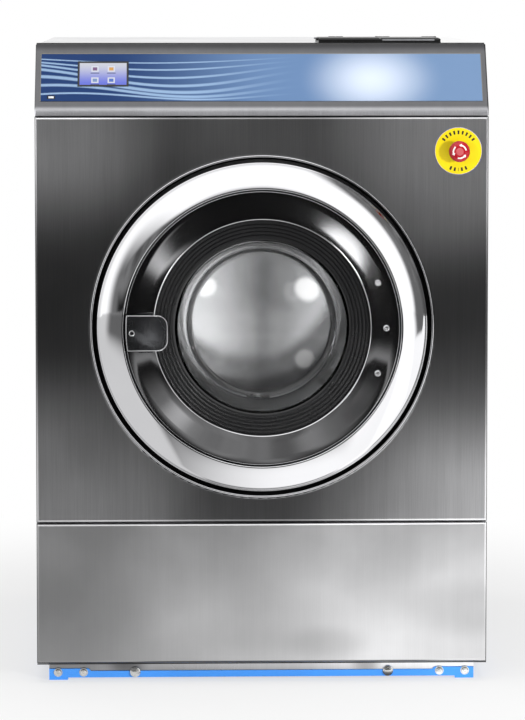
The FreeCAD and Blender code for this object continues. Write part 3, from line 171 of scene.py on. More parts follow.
def face_outwards(merge: bool = True) -> None:
    """Merge doubles of the edited mesh and turn its faces outwards.

    Args:
        merge: False where the mesh has no doubles.
    """
    select_all()
    if merge:
        bpy.ops.mesh.remove_doubles(threshold=MERGE_DISTANCE)
    bpy.ops.mesh.normals_make_consistent(inside=False)


def fix_place() -> None:
    """Put the active object's place, turn and scale into its mesh."""
    bpy.ops.object.transform_apply(location=True, rotation=True, scale=True)


def modify(piece: Thing, kind: str, **settings: object) -> None:
    """Add a modifier to the active piece and apply it.

    Args:
        piece: the piece, which is active.
        kind: Blender's name of the modifier type.
        settings: the modifier's settings.
    """
    modifier = piece.modifiers.new(kind.lower(), kind)
    for name, value in settings.items():
        setattr(modifier, name, value)
    bpy.ops.object.modifier_apply(modifier=modifier.name)


def smooth(piece: Thing, angle: float) -> None:
    """Smooth the active piece where its faces meet at less than an angle in degrees."""
    pick(piece)
    bpy.ops.object.shade_smooth_by_angle(angle=math.radians(angle))


def settle(piece: Thing, angle: float = 40.0) -> Thing:
    """Put a piece's place into its vertices and smooth it by angle.

    Args:
        piece: the piece to settle.
        angle: largest angle in degrees that is smoothed over.

    Returns:
        The same piece, at the origin, unrotated and unscaled.
    """
    pick(piece)
    fix_place()
    smooth(piece, angle)
    return piece


def joined(name: str, pieces: Sequence[Thing]) -> Thing:
    """Join pieces into the first one.

    Args:
        name: name of the joined piece.
        pieces: the pieces, of which the first one stays.

    Returns:
        The first piece.
    """
    pick(*pieces)
    bpy.ops.object.join()
    pieces[0].name = name
    return pieces[0]


def carve(piece: Thing, tool: Thing) -> None:
    """Cut a tool out of a piece and remove the tool.

    Args:
        piece: the piece that is cut.
        tool: the shape that is taken away.
    """
    pick(piece)
    modify(piece, "BOOLEAN", operation="DIFFERENCE", solver="EXACT", object=tool)
    bpy.data.objects.remove(tool)


def line_through(name: str, points: Sequence[Vector]) -> Thing:
    """Line of edges through points, drawn by extruding one vertex.

    Args:
        name: name of the piece.
        points: the points in order.

    Returns:
        The line.
    """
    start_fresh()
    bpy.ops.mesh.primitive_plane_add(size=0.001, location=(0, 0, 0))
    piece = take(name)
    with editing():
        bpy.ops.mesh.merge(type="CENTER")
        bpy.ops.transform.translate(value=points[0])
        for before, after in zip(points, points[1:]):
            extrude(after - before)
    return piece


def spun(name: str, profile: Sequence[Point], centre: Place, steps: int, closed: bool = True,
         upright: bool = False) -> Thing:
    """Turn a profile about a line along Y, or along Z.

    Args:
        name: name of the piece.
        profile: (radius, depth) points in metres, depth along the line from the centre.
        centre: a point on the line.
        steps: steps of a full turn.
        closed: True where the last point joins the first.
        upright: True for a line along Z.

    Returns:
        The turned piece.
    """
    line = Vector((0.0, 0.0, 1.0)) if upright else Vector((0.0, 1.0, 0.0))
    across = Vector((1.0, 0.0, 0.0))
    piece = line_through(name, [Vector(centre) + across * radius + line * depth for radius, depth in profile])
    with editing():
        if closed:
            bpy.ops.mesh.edge_face_add()
            select_all()
            bpy.ops.mesh.delete(type="ONLY_FACE")
            select_all()
        bpy.ops.mesh.spin(steps=steps, angle=2 * math.pi, center=centre, axis=line)
        face_outwards()
    return piece


def boxed(name: str, low: Place, high: Place, bevel: float = 0.0) -> Thing:
    """Box between two corners with rounded edges.

    Args:
        name: name of the piece.
        low: lowest corner.
        high: highest corner.
        bevel: radius of the edges, or 0 for sharp ones.

    Returns:
        The box.
    """
    start_fresh()
    middle = [(a + b) / 2 for a, b in zip(low, high)]
    bpy.ops.mesh.primitive_cube_add(size=1.0, location=middle)
    piece = take(name)
    piece.scale = [b - a for a, b in zip(low, high)]
    fix_place()
    if bevel:
        with editing():
            bpy.ops.mesh.bevel(offset=bevel, segments=3, affect="EDGES")
    return piece


def bar(name: str, place: Place, radius: float, length: float, sides: int) -> Thing:
    """Bar along Y.

    Args:
        name: name of the piece.
        place: middle of the bar.
        radius: radius over its corners.
        length: its length.
        sides: number of its sides.

    Returns:
        The bar.
    """
    start_fresh()
    bpy.ops.mesh.primitive_cylinder_add(vertices=sides, radius=radius, depth=length, location=place,
                                        rotation=(math.pi / 2, 0, 0))
    fix_place()
    return take(name)


def plate(name: str, outline: Sequence[Point], y: float, thickness: float, bevel: float) -> Thing:
    """Flat plate that faces the front, with its outline drawn in X and Z.

    Args:
        name: name of the piece.
        outline: (x, z) corners in order.
        y: place of the front face.
        thickness: thickness towards the back.
        bevel: radius of the front and back edges.

    Returns:
        The plate.
    """
    piece = line_through(name, [Vector((x, y, z)) for x, z in outline])
    with editing():
        bpy.ops.mesh.edge_face_add()
        select_all()
        extrude((0.0, thickness, 0.0))
        face_outwards(merge=False)
    modify(piece, "BEVEL", width=bevel, segments=3, limit_method="ANGLE", angle_limit=BEVEL_FROM)
    return piece


def arc_points(start: Point, end: Point, bulge: float, steps: int) -> List[Point]:
    """Points along an arc, without its start.

    Args:
        start: first point.
        end: last point.
        bulge: height of the arc over the middle of the line, to its left.
        steps: number of points.

    Returns:
        The points, ending with the end point.
    """
    across, along = end[0] - start[0], end[1] - start[1]
    length = math.hypot(across, along)
    half_turn = 2 * math.atan(2 * bulge / length)
    radius = length / (2 * math.sin(half_turn))
    drop = radius * math.cos(half_turn)
    ahead, left = (across / length, along / length), (-along / length, across / length)
    centre = [(a + b) / 2 - side * drop for a, b, side in zip(start, end, left)]
    points = []
    for index in range(1, steps + 1):
        turn = half_turn - 2 * half_turn * index / steps
        back, out = math.sin(turn) * radius, math.cos(turn) * radius
        points.append(tuple(c - a * back + side * out for c, a, side in zip(centre, ahead, left)))
    return points


def tube_profile(radius: float, tube: float, steps: int) -> List[Point]:
    """Round section of a ring, as (radius, depth) points."""
    turns = [2 * math.pi * index / steps for index in range(steps)]
    return [(radius + tube * math.cos(turn), tube * math.sin(turn)) for turn in turns]


# Shader helpers


class Graph:
    """Short way to place and join shader nodes in a tree."""

    def __init__(self, tree: bpy.types.NodeTree) -> None:
        """Keep the tree that is filled."""
        self.tree = tree

    def add(self, kind: str, inputs: Optional[dict] = None, **settings: object) -> bpy.types.Node:
        """Place a node.

        Args:
            kind: Blender's name of the node type.
            inputs: socket name or number to a value or an output socket.
            settings: other settings of the node.

        Returns:
            The new node.
        """
        node = self.tree.nodes.new(kind)
        for name, value in settings.items():
            setattr(node, name, value)
        for name, value in (inputs or {}).items():
            self.feed(node.inputs[name], value)
        return node

    def feed(self, socket: Socket, value: object) -> None:
        """Set a socket's value or join an output to it.

        Args:
            socket: the input socket.
            value: a plain value or an output socket.
        """
        if isinstance(value, Socket):
            self.tree.links.new(value, socket)
        elif isinstance(value, (tuple, list)) and len(value) == 3 and socket.type == "RGBA":
            socket.default_value = (*value, 1.0)
        else:
            socket.default_value = value

    def put(self, name: str, value: object) -> None:
        """Set or join an input of the material's Principled BSDF."""
        self.feed(self.tree.nodes["Principled BSDF"].inputs[name], value)

    def math(self, operation: str, first: object, second: object = 0.0) -> Socket:
        """Place a Math node and give its result."""
        return self.add("ShaderNodeMath", {0: first, 1: second}, operation=operation).outputs[0]

    def times(self, first: object, *others: object) -> Socket:
        """Multiply values.

        Args:
            first: first value or output.
            others: the values or outputs that it is multiplied by.

        Returns:
            The product.
        """
        for other in others:
            first = self.math("MULTIPLY", first, other)
        return first

    def most(self, first: object, *others: object) -> Socket:
        """Largest of some values.

        Args:
            first: first value or output.
            others: the other values or outputs.

        Returns:
            The largest value.
        """
        for other in others:
            first = self.math("MAXIMUM", first, other)
        return first

    def away(self, first: object, second: object, middle: Point) -> Socket:
        """Distance in a plane from a point.

        Args:
            first: first coordinate.
            second: second coordinate.
            middle: the point.

        Returns:
            The distance.
        """
        across = self.math("SUBTRACT", first, middle[0])
        upward = self.math("SUBTRACT", second, middle[1])
        return self.math("SQRT", self.math("ADD", self.times(across, across), self.times(upward, upward)))

    def spot(self, first: object, second: object, middle: Point, reach: float, peak: float) -> Socket:
        """Soft round spot in a plane, of a peak value in its middle and 0 outside its reach."""
        return self.ramp(self.away(first, second, middle), reach, 0.0, 0.0, peak)

    def band(self, value: object, low: float, high: float, soft: float) -> Socket:
        """Mask that is 1 between two limits, with edges of a soft width."""
        rise = self.ramp(value, low - soft / 2, low + soft / 2)
        return self.times(rise, self.ramp(value, high + soft / 2, high - soft / 2))

    def ramp(self, value: object, start: float, end: float, low: float = 0.0, high: float = 1.0) -> Socket:
        """Smooth step from one value to another.

        Args:
            value: value or output that is read.
            start: where the step starts.
            end: where the step ends.
            low: result at the start.
            high: result at the end.

        Returns:
            The result.
        """
        bounds = (end, start, high, low) if start > end else (start, end, low, high)
        names = ("From Min", "From Max", "To Min", "To Max")
        inputs = {"Value": value, **dict(zip(names, bounds))}
        return self.add("ShaderNodeMapRange", inputs, interpolation_type="SMOOTHSTEP").outputs[0]

    def steps(self, *pairs: Tuple[object, Step]) -> Socket:
        """Product of smooth steps, each given by a value and its step."""
        return self.times(*(self.ramp(value, *step) for value, step in pairs))

    def grey(self, value: object) -> Socket:
        """Grey of a value."""
        return self.add("ShaderNodeCombineColor", {0: value, 1: value, 2: value}).outputs[0]

    def blend(self, share: object, first: object, second: object, mode: str = "MIX") -> Socket:
        """Mix two colours.

        Args:
            share: share of the second colour.
            first: first colour or output.
            second: second colour or output.
            mode: Blender's name of the way of mixing.

        Returns:
            The mixed colour.
        """
        node = self.add("ShaderNodeMix", data_type="RGBA", blend_type=mode)
        for number, value in ((0, share), (6, first), (7, second)):
            self.feed(node.inputs[number], value)
        return node.outputs[2]

    def dim(self, colour: object, scale: object) -> Socket:
        """Colour times a plain factor."""
        return self.blend(1.0, colour, self.grey(scale), "MULTIPLY")

    def surface(self, share: object, first: Socket, second: Socket) -> None:
        """Show a mix of two shaders, with a share of the second one."""
        mix = self.add("ShaderNodeMixShader", {0: share, 1: first, 2: second})
        self.feed(self.tree.nodes["Material Output"].inputs["Surface"], mix.outputs[0])

    def place(self) -> Dict[str, Socket]:
        """Place the object's own coordinates.

        Returns:
            Outputs named x, y, z and point.
        """
        point = self.add("ShaderNodeTexCoord").outputs["Object"]
        return {"point": point, **dict(zip("xyz", self.split(point)))}

    def split(self, point: object) -> Tuple[Socket, Socket, Socket]:
        """Coordinates of a point."""
        return tuple(self.add("ShaderNodeSeparateXYZ", {0: point}).outputs)

    def noise(self, point: object, scale: object, detail: float) -> Socket:
        """Noise at a point, around 0.5."""
        return self.add("ShaderNodeTexNoise", {"Vector": point, "Scale": scale, "Detail": detail}).outputs[0]


def new_material(name: str) -> Tuple[bpy.types.Material, Graph]:
    """Start a material.

    Args:
        name: name of the material.

    Returns:
        The material and its graph.
    """
    material = bpy.data.materials.new(name)
    material.use_nodes = True
    return material, Graph(material.node_tree)


class Effects:
    """Shader node groups that several finishes share."""

    grain: ClassVar[Optional[bpy.types.NodeTree]] = None
    wear: ClassVar[Optional[bpy.types.NodeTree]] = None
    broad_size: ClassVar[float] = 60.0
    fine_share: ClassVar[float] = 0.6
    broad_share: ClassVar[float] = 0.4

    @classmethod
    def build(cls) -> None:
        """Build the groups once."""
        cls.grain = cls.brushed_grain()
        cls.wear = cls.faint_wear()

    @staticmethod
    def start(name: str, inputs: Dict[str, float], outputs: Sequence[str]) -> Tuple[Graph, dict, dict]:
        """Start a group with float inputs and outputs.

        Args:
            name: name of the group.
            inputs: input name to default value.
            outputs: names of the outputs.

        Returns:
            The group's graph, its input sockets by name and its output sockets by name.
        """
        tree = bpy.data.node_groups.new(name, "ShaderNodeTree")
        for key, value in inputs.items():
            socket = tree.interface.new_socket(key, in_out="INPUT", socket_type="NodeSocketFloat")
            socket.default_value = value
        for key in outputs:
            tree.interface.new_socket(key, in_out="OUTPUT", socket_type="NodeSocketFloat")
        graph = Graph(tree)
        start, end = graph.add("NodeGroupInput"), graph.add("NodeGroupOutput")
        return graph, {key: start.outputs[key] for key in inputs}, {key: end.inputs[key] for key in outputs}

    @classmethod
    def brushed_grain(cls) -> bpy.types.NodeTree:
        """Brushed grain along Z.

        Returns:
            A group with a Tone and a Height output around 0.5.
        """
        graph, given, result = cls.start("BrushedGrain", {"Fine": 900.0, "Length": 0.012}, ("Tone", "Height"))
        here = graph.place()
        along = graph.times(here["z"], given["Length"])
        line = graph.add("ShaderNodeCombineXYZ", {0: here["x"], 1: here["y"], 2: along}).outputs[0]
        fine, broad = graph.noise(line, given["Fine"], 2.0), graph.noise(line, cls.broad_size, 3.0)
        shares = graph.times(fine, cls.fine_share), graph.times(broad, cls.broad_share)
        graph.feed(result["Tone"], graph.math("ADD", *shares))
        graph.feed(result["Height"], fine)
        return graph.tree

    @classmethod
    def faint_wear(cls) -> bpy.types.NodeTree:
        """Faint cloudy smudges and fine texture.

        Returns:
            A group with a Cloud and a Grit output around 0.5.
        """
        sizes = {"Cloud size": 6.0, "Grit size": 700.0}
        graph, given, result = cls.start("FaintWear", sizes, ("Cloud", "Grit"))
        point = graph.place()["point"]
        graph.feed(result["Cloud"], graph.noise(point, given["Cloud size"], 4.0))
        graph.feed(result["Grit"], graph.noise(point, given["Grit size"], 1.0))
        return graph.tree


# Finishes

NEUTRAL_TONE = 0.5
TONE_REACH = 0.25


def srgb(red: float, green: float, blue: float) -> Colour:
    """Turn a screen colour of three values up to 255 into a linear one."""
    shares = [value / 255.0 for value in (red, green, blue)]
    return tuple(s / 12.92 if s <= 0.04045 else ((s + 0.055) / 1.055) ** 2.4 for s in shares)


@dataclass(frozen=True)
class Finish:
    """Surface with a faint cloudy change of tone and roughness."""

    name: str
    colour: Colour
    roughness: float
    metallic: float = 0.0
    cloud: float = 0.08
    cloud_size: float = 6.0
    grit: float = 0.0
    grit_size: float = 700.0
    vary: float = 0.15
    specular: float = 0.5

    tone_range: Step = (NEUTRAL_TONE - TONE_REACH, NEUTRAL_TONE + TONE_REACH)
    rough_range: Step = (0.3, 0.7)
    grit_height: float = 0.0005

    def build(self) -> bpy.types.Material:
        """Build the material once.

        Returns:
            The material.
        """
        label = "look_" + self.name
        material = bpy.data.materials.get(label)
        if material is None:
            material, graph = new_material(label)
            graph.put("Metallic", self.metallic)
            graph.put("Specular IOR Level", self.specular)
            self.paint(graph)
        return material

    def paint(self, graph: Graph) -> None:
        """Join colour, roughness and bump to the shader.

        Args:
            graph: graph of the material.
        """
        sizes = {"Cloud size": self.cloud_size, "Grit size": self.grit_size}
        wear = graph.add("ShaderNodeGroup", sizes, node_tree=Effects.wear)
        cloud = wear.outputs["Cloud"]
        graph.put("Base Color", self.toned(graph, self.pattern(graph), cloud, self.cloud))
        graph.put("Roughness", graph.ramp(cloud, *self.rough_range, *self.rough_limits()))
        if self.grit:
            self.emboss(graph, wear.outputs["Grit"], self.grit, self.grit_height)

    def pattern(self, graph: Graph) -> object:
        """Colour or colour output under the clouds."""
        return self.colour

    def rough_limits(self) -> Point:
        """Lowest and highest roughness."""
        return self.roughness * (1 - self.vary), min(1.0, self.roughness * (1 + self.vary))

    @staticmethod
    def emboss(graph: Graph, height: Socket, strength: float, distance: float) -> None:
        """Give the shader a fine relief.

        Args:
            graph: graph of the material.
            height: height output.
            strength: strength of the relief.
            distance: its full height in metres.
        """
        relief = {"Height": height, "Strength": strength, "Distance": distance}
        graph.put("Normal", graph.add("ShaderNodeBump", relief).outputs[0])

    def toned(self, graph: Graph, colour: object, value: object, depth: float) -> Socket:
        """Brighten and darken a colour by a value around 0.5, by a share of up to its depth."""
        return graph.dim(colour, graph.ramp(value, *self.tone_range, 1.0 - depth, 1.0 + depth))


@dataclass(frozen=True)
class ReflectionPatch:
    """Painted reflection on a sheet: a soft lighter or darker place, round or flattened, that stands in for a
    highlight or a dark reflection.
    """

    x: float
    z: float
    radius: float
    gain: float
    flat: float = 1.0

    def value(self, graph: Graph) -> Socket:
        """Tone value of the painted reflection.

        Args:
            graph: graph of the material.

        Returns:
            The neutral tone far away, with the full reach over it in the middle.
        """
        here = graph.place()
        middle = (self.x, self.z * self.flat)
        spot = graph.spot(here["x"], graph.times(here["z"], self.flat), middle, self.radius, TONE_REACH)
        return graph.math("ADD", spot, NEUTRAL_TONE)


@dataclass(frozen=True)
class BrushedSteel(Finish):
    """Stainless sheet with a brushed grain along Z, soft random changes of tone and painted reflections.

    A rise is painted light that changes the tone with height: its start, its end and the gain at its end. The
    edge is the place across from where the sheet's return gets painted shade, dark and less metallic.
    """

    metallic: float = 1.0
    grain: float = 0.10
    relief: float = 0.03
    stretch: float = 0.7
    painted_reflections: Tuple[ReflectionPatch, ...] = ()
    painted_light_rises: Tuple[Step, ...] = ()
    edge: Optional[float] = None

    edge_shade_width: float = 0.0010
    edge_front: Step = (-0.4570, -0.4590)
    edge_shade_colour: Colour = srgb(30, 30, 31)
    relief_height: float = 0.0004

    def paint(self, graph: Graph) -> None:
        """Add the brushed relief to the painted sheet.

        Args:
            graph: graph of the material.
        """
        super().paint(graph)
        graph.put("Anisotropic", self.stretch)
        self.emboss(graph, self.lines(graph, "Height"), self.relief, self.relief_height)

    @staticmethod
    def lines(graph: Graph, output: str) -> Socket:
        """Output of the shared grain."""
        return graph.add("ShaderNodeGroup", node_tree=Effects.grain).outputs[output]

    def pattern(self, graph: Graph) -> object:
        """Grain, painted reflections, painted light by height and painted edge shade of the sheet.

        Args:
            graph: graph of the material.

        Returns:
            The colour output.
        """
        colour = self.toned(graph, self.colour, self.lines(graph, "Tone"), self.grain)
        # Painted reflections: each one lightens or darkens the colour in place of a highlight or a dark
        # reflection.
        for painted_patch in self.painted_reflections:
            colour = self.toned(graph, colour, painted_patch.value(graph), painted_patch.gain)
        here = graph.place()
        # Painted light by height: each rise brightens or darkens the colour along Z.
        for start, end, gain in self.painted_light_rises:
            colour = graph.dim(colour, graph.ramp(here["z"], start, end, 1.0, gain))
        # Painted shade along the side return: past the edge the colour turns dark and the sheet less
        # metallic.
        if self.edge:
            side = graph.ramp(graph.math("ABSOLUTE", here["x"]), self.edge, self.edge + self.edge_shade_width)
            mask = graph.times(side, graph.ramp(here["y"], *self.edge_front))
            colour = graph.blend(mask, colour, self.edge_shade_colour)
            graph.put("Metallic", graph.math("SUBTRACT", 1.0, mask))
        return colour


@dataclass(frozen=True)
class PerforatedSteel(BrushedSteel):
    """Drum sheet with staggered rows of small drain holes."""

    hole: Colour = srgb(14, 14, 15)
    around: int = 78
    pitch: float = 0.025
    size: float = 0.15
    hole_edge: Step = (0.2, 0.8)
    hole_steep: float = 3.0
    cell_middle: Point = (0.5, 0.5)

    def pattern(self, graph: Graph) -> object:
        """Sheet with its holes.

        Args:
            graph: graph of the material.

        Returns:
            The colour output.
        """
        here = graph.place()
        row = graph.math("DIVIDE", here["y"], self.pitch)
        turn = graph.math("ARCTAN2", here["z"], here["x"])
        odd = graph.math("MODULO", graph.math("ABSOLUTE", graph.math("FLOOR", row)), 2.0)
        column = graph.math("ADD", graph.times(turn, self.around / (2 * math.pi)), graph.times(odd, 0.5))
        cell = graph.math("FRACT", column), graph.math("FRACT", row)
        mask = graph.spot(*cell, self.cell_middle, self.size, self.hole_steep)
        return graph.blend(graph.ramp(mask, *self.hole_edge), super().pattern(graph), self.hole)


@dataclass(frozen=True)
class ClearGlass(Finish):
    """Clear glass with faint smears."""

    refraction: float = 1.47

    def paint(self, graph: Graph) -> None:
        """Make the painted surface clear.

        Args:
            graph: graph of the material.
        """
        super().paint(graph)
        graph.put("Transmission Weight", 1.0)
        graph.put("IOR", self.refraction)

    def rough_limits(self) -> Point:
        """Lowest and highest roughness."""
        return 0.0, self.roughness


@dataclass(frozen=True)
class Wave:
    """Light wave line of the console film: its height, swing, radians per metre and half width."""

    height: float
    swing: float
    turns: float
    width: float


@dataclass(frozen=True)
class PrintedFilm(Finish):
    """Blue film with a soft gradient, a glow and flowing light lines."""

    specular: float = 0.2

    left: Colour = srgb(8, 46, 96)
    middle: Colour = srgb(92, 121, 160)
    right: Colour = srgb(104, 131, 166)
    line: Colour = srgb(148, 176, 208)
    glow: Colour = srgb(206, 216, 232)
    border: Colour = srgb(112, 110, 104)
    to_middle: Step = (-0.30, 0.05)
    to_right: Step = (0.05, 0.40)
    glow_place: Point = (0.2085, 1.152)
    glow_squash: float = 0.62
    glow_reach: float = 0.088
    glow_peak: float = 0.95
    fade: Step = (0.08, -0.16)
    core: float = 0.3
    strength: float = 0.8
    half_width: float = 0.4185
    foot: float = 1.1080
    top: float = 1.2000
    border_edge: float = 0.0006
    waves: Tuple[Wave, ...] = (
        Wave(1.121, 0.006, 13.2, 0.0024), Wave(1.131, 0.011, 12.0, 0.0036), Wave(1.143, 0.015, 10.8, 0.0042),
        Wave(1.157, 0.017, 9.8, 0.0036), Wave(1.170, 0.015, 9.0, 0.0028), Wave(1.181, 0.011, 8.2, 0.0022),
        Wave(1.190, 0.007, 7.6, 0.0016))

    def pattern(self, graph: Graph) -> object:
        """Printed colours of the film.

        Args:
            graph: graph of the material.

        Returns:
            The colour output.
        """
        here = graph.place()
        colour = graph.blend(graph.ramp(here["x"], *self.to_middle), self.left, self.middle)
        colour = graph.blend(graph.ramp(here["x"], *self.to_right), colour, self.right)
        aside = graph.times(here["x"], self.glow_squash)
        middle = (self.glow_place[0] * self.glow_squash, self.glow_place[1])
        glow = graph.spot(aside, here["z"], middle, self.glow_reach, self.glow_peak)
        colour = graph.blend(glow, colour, self.glow)
        for wave in self.waves:
            colour = graph.blend(self.wave_mask(graph, here, wave), colour, self.line)
        inside = graph.times(graph.band(here["x"], -self.half_width, self.half_width, self.border_edge),
                             graph.band(here["z"], self.foot, self.top, self.border_edge))
        return graph.blend(inside, self.border, colour)

    def wave_mask(self, graph: Graph, here: Dict[str, Socket], wave: Wave) -> Socket:
        """Mask of one light line, which fades to the right.

        Args:
            graph: graph of the material.
            here: the film's coordinates.
            wave: the line.

        Returns:
            The mask.
        """
        swing = graph.times(graph.math("SINE", graph.times(here["x"], wave.turns)), wave.swing)
        off = graph.math("SUBTRACT", here["z"], graph.math("ADD", swing, wave.height))
        body = graph.ramp(graph.math("ABSOLUTE", off), wave.width, self.core * wave.width, 0.0, self.strength)
        return graph.times(body, graph.ramp(here["x"], *self.fade))


@dataclass(frozen=True)
class ScreenFace(Finish):
    """Touchscreen with a lit picture of four plain icons inside a black frame."""

    top: Colour = srgb(212, 214, 222)
    bottom: Colour = srgb(92, 108, 226)
    tile_colour: Colour = srgb(222, 226, 238)
    label_colour: Colour = srgb(60, 70, 120)
    icons: Tuple[Tuple[Colour, int, int], ...] = (
        (srgb(120, 80, 130), -1, 1), (srgb(222, 160, 70), 1, 1),
        (srgb(120, 150, 200), -1, -1), (srgb(70, 110, 200), 1, -1))
    pitch: Point = (0.0155, 0.0105)
    lift: float = 0.002
    tile: Tuple[Step, Step] = ((0.0072, 0.0066), (0.0055, 0.0050))
    core: Tuple[Step, Step] = ((0.0045, 0.0040), (0.0032, 0.0028))
    label: Tuple[Step, Step] = ((0.0086, 0.0080), (0.0009, 0.0006))
    label_drop: float = 0.0078
    frame_side: float = 0.0035
    frame_foot: float = 0.0095
    frame_top: float = 0.003
    frame_edge: float = 0.0004
    dusk: float = 0.15
    light: float = 0.9

    def paint(self, graph: Graph) -> None:
        """Light the picture inside the painted frame.

        Args:
            graph: graph of the material.
        """
        super().paint(graph)
        here = graph.place()
        low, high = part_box("touchscreen")
        across = graph.band(here["x"], low.x + self.frame_side, high.x - self.frame_side, self.frame_edge)
        upward = graph.band(here["z"], low.z + self.frame_foot, high.z - self.frame_top, self.frame_edge)
        lit = graph.blend(graph.times(across, upward), BLACK, self.picture(graph, here, low, high))
        graph.put("Emission Color", lit)
        graph.put("Emission Strength", self.light)

    def picture(self, graph: Graph, here: Dict[str, Socket], low: Vector, high: Vector) -> Socket:
        """Gradient with four icons, each a tile with a core and a bar below.

        Args:
            graph: graph of the material.
            here: the screen's coordinates.
            low: lowest corner of the screen.
            high: highest corner of the screen.

        Returns:
            The colour output.
        """
        middle = (low + high) / 2
        start = low.z + self.dusk * (high.z - low.z)
        colour = graph.blend(graph.ramp(here["z"], start, high.z), self.bottom, self.top)
        for tint, side, level in self.icons:
            across = graph.math("SUBTRACT", here["x"], middle.x + side * self.pitch[0])
            rise = graph.math("SUBTRACT", here["z"], middle.z + level * self.pitch[1] + self.lift)
            below = graph.math("ADD", rise, self.label_drop)
            colour = graph.blend(self.block(graph, across, rise, self.tile), colour, self.tile_colour)
            colour = graph.blend(self.block(graph, across, rise, self.core), colour, tint)
            colour = graph.blend(self.block(graph, across, below, self.label), colour, self.label_colour)
        return colour

    @staticmethod
    def block(graph: Graph, across: Socket, upward: Socket, size: Tuple[Step, Step]) -> Socket:
        """Mask of a soft rectangle round zero."""
        off = [graph.math("ABSOLUTE", value) for value in (across, upward)]
        return graph.steps(*zip(off, size))


@dataclass(frozen=True)
class StopRed(Finish):
    """Red mushroom head with three white turning arrows."""

    mark: Colour = srgb(235, 230, 228)
    middle: Colour = srgb(214, 120, 122)
    middle_edge: Step = (0.0078, 0.0062, 0.0, 0.55)
    arrows: int = 3
    arrow_radius: float = 0.0122
    line_width: float = 0.0014
    line_span: Step = (0.1, 0.62, 0.02)
    head_span: Step = (0.62, 0.78, 0.005)
    head_width: Step = (0.80, 0.62, 0.0006, 0.0030)
    face_depth: float = 0.024

    def pattern(self, graph: Graph) -> object:
        """Red with a paler middle and the arrows.

        Args:
            graph: graph of the material.

        Returns:
            The colour output.
        """
        here = graph.place()
        away, across, upward = stop_polar(graph, here)
        turn = graph.math("ARCTAN2", upward, across)
        turn = graph.math("FRACT", graph.times(turn, self.arrows / (2 * math.pi)))
        off = graph.math("ABSOLUTE", graph.math("SUBTRACT", away, self.arrow_radius))
        line = graph.times(graph.math("LESS_THAN", off, self.line_width), graph.band(turn, *self.line_span))
        width = graph.ramp(turn, *self.head_width)
        head = graph.times(graph.math("LESS_THAN", off, width), graph.band(turn, *self.head_span))
        front = graph.math("LESS_THAN", here["y"], FRONT_Y - self.face_depth)
        colour = graph.blend(graph.ramp(away, *self.middle_edge), self.colour, self.middle)
        return graph.blend(graph.times(graph.most(line, head), front), colour, self.mark)


@dataclass(frozen=True)
class StopYellow(Finish):
    """Yellow disc with plain dark ticks along its upper and lower edge."""

    tick: Colour = srgb(28, 24, 40)
    edge: Colour = srgb(150, 150, 190)
    edge_radius: Step = (0.0436, 0.0444)
    pitch: float = math.radians(13.0)
    tick_span: Step = (0.28, 0.72, 0.08)
    row: Step = (0.0318, 0.0388, 0.0006)
    upper_end: float = math.radians(59.0)
    lower_start: float = math.radians(149.0)

    def pattern(self, graph: Graph) -> object:
        """Yellow with a pale edge and the ticks.

        Args:
            graph: graph of the material.

        Returns:
            The colour output.
        """
        away, across, upward = stop_polar(graph, graph.place())
        turn = graph.math("ARCTAN2", across, upward)
        step = graph.math("FRACT", graph.math("ADD", graph.math("DIVIDE", turn, self.pitch), 0.5))
        aside = graph.math("ABSOLUTE", turn)
        upper = graph.math("LESS_THAN", aside, self.upper_end)
        lower = graph.math("GREATER_THAN", aside, self.lower_start)
        rows = graph.times(graph.math("ADD", upper, lower), graph.band(away, *self.row))
        colour = graph.blend(graph.ramp(away, *self.edge_radius), self.colour, self.edge)
        return graph.blend(graph.times(graph.band(step, *self.tick_span), rows), colour, self.tick)


def stop_polar(graph: Graph, here: Dict[str, Socket]) -> Tuple[Socket, Socket, Socket]:
    """Place on the emergency stop seen from its middle.

    Args:
        graph: graph of the material.
        here: the piece's coordinates.

    Returns:
        The distance, the place across and the place upwards.
    """
    across = graph.math("SUBTRACT", here["x"], STOP_CENTRE[0])
    upward = graph.math("SUBTRACT", here["z"], STOP_CENTRE[2])
    return graph.away(across, upward, (0.0, 0.0)), across, upward


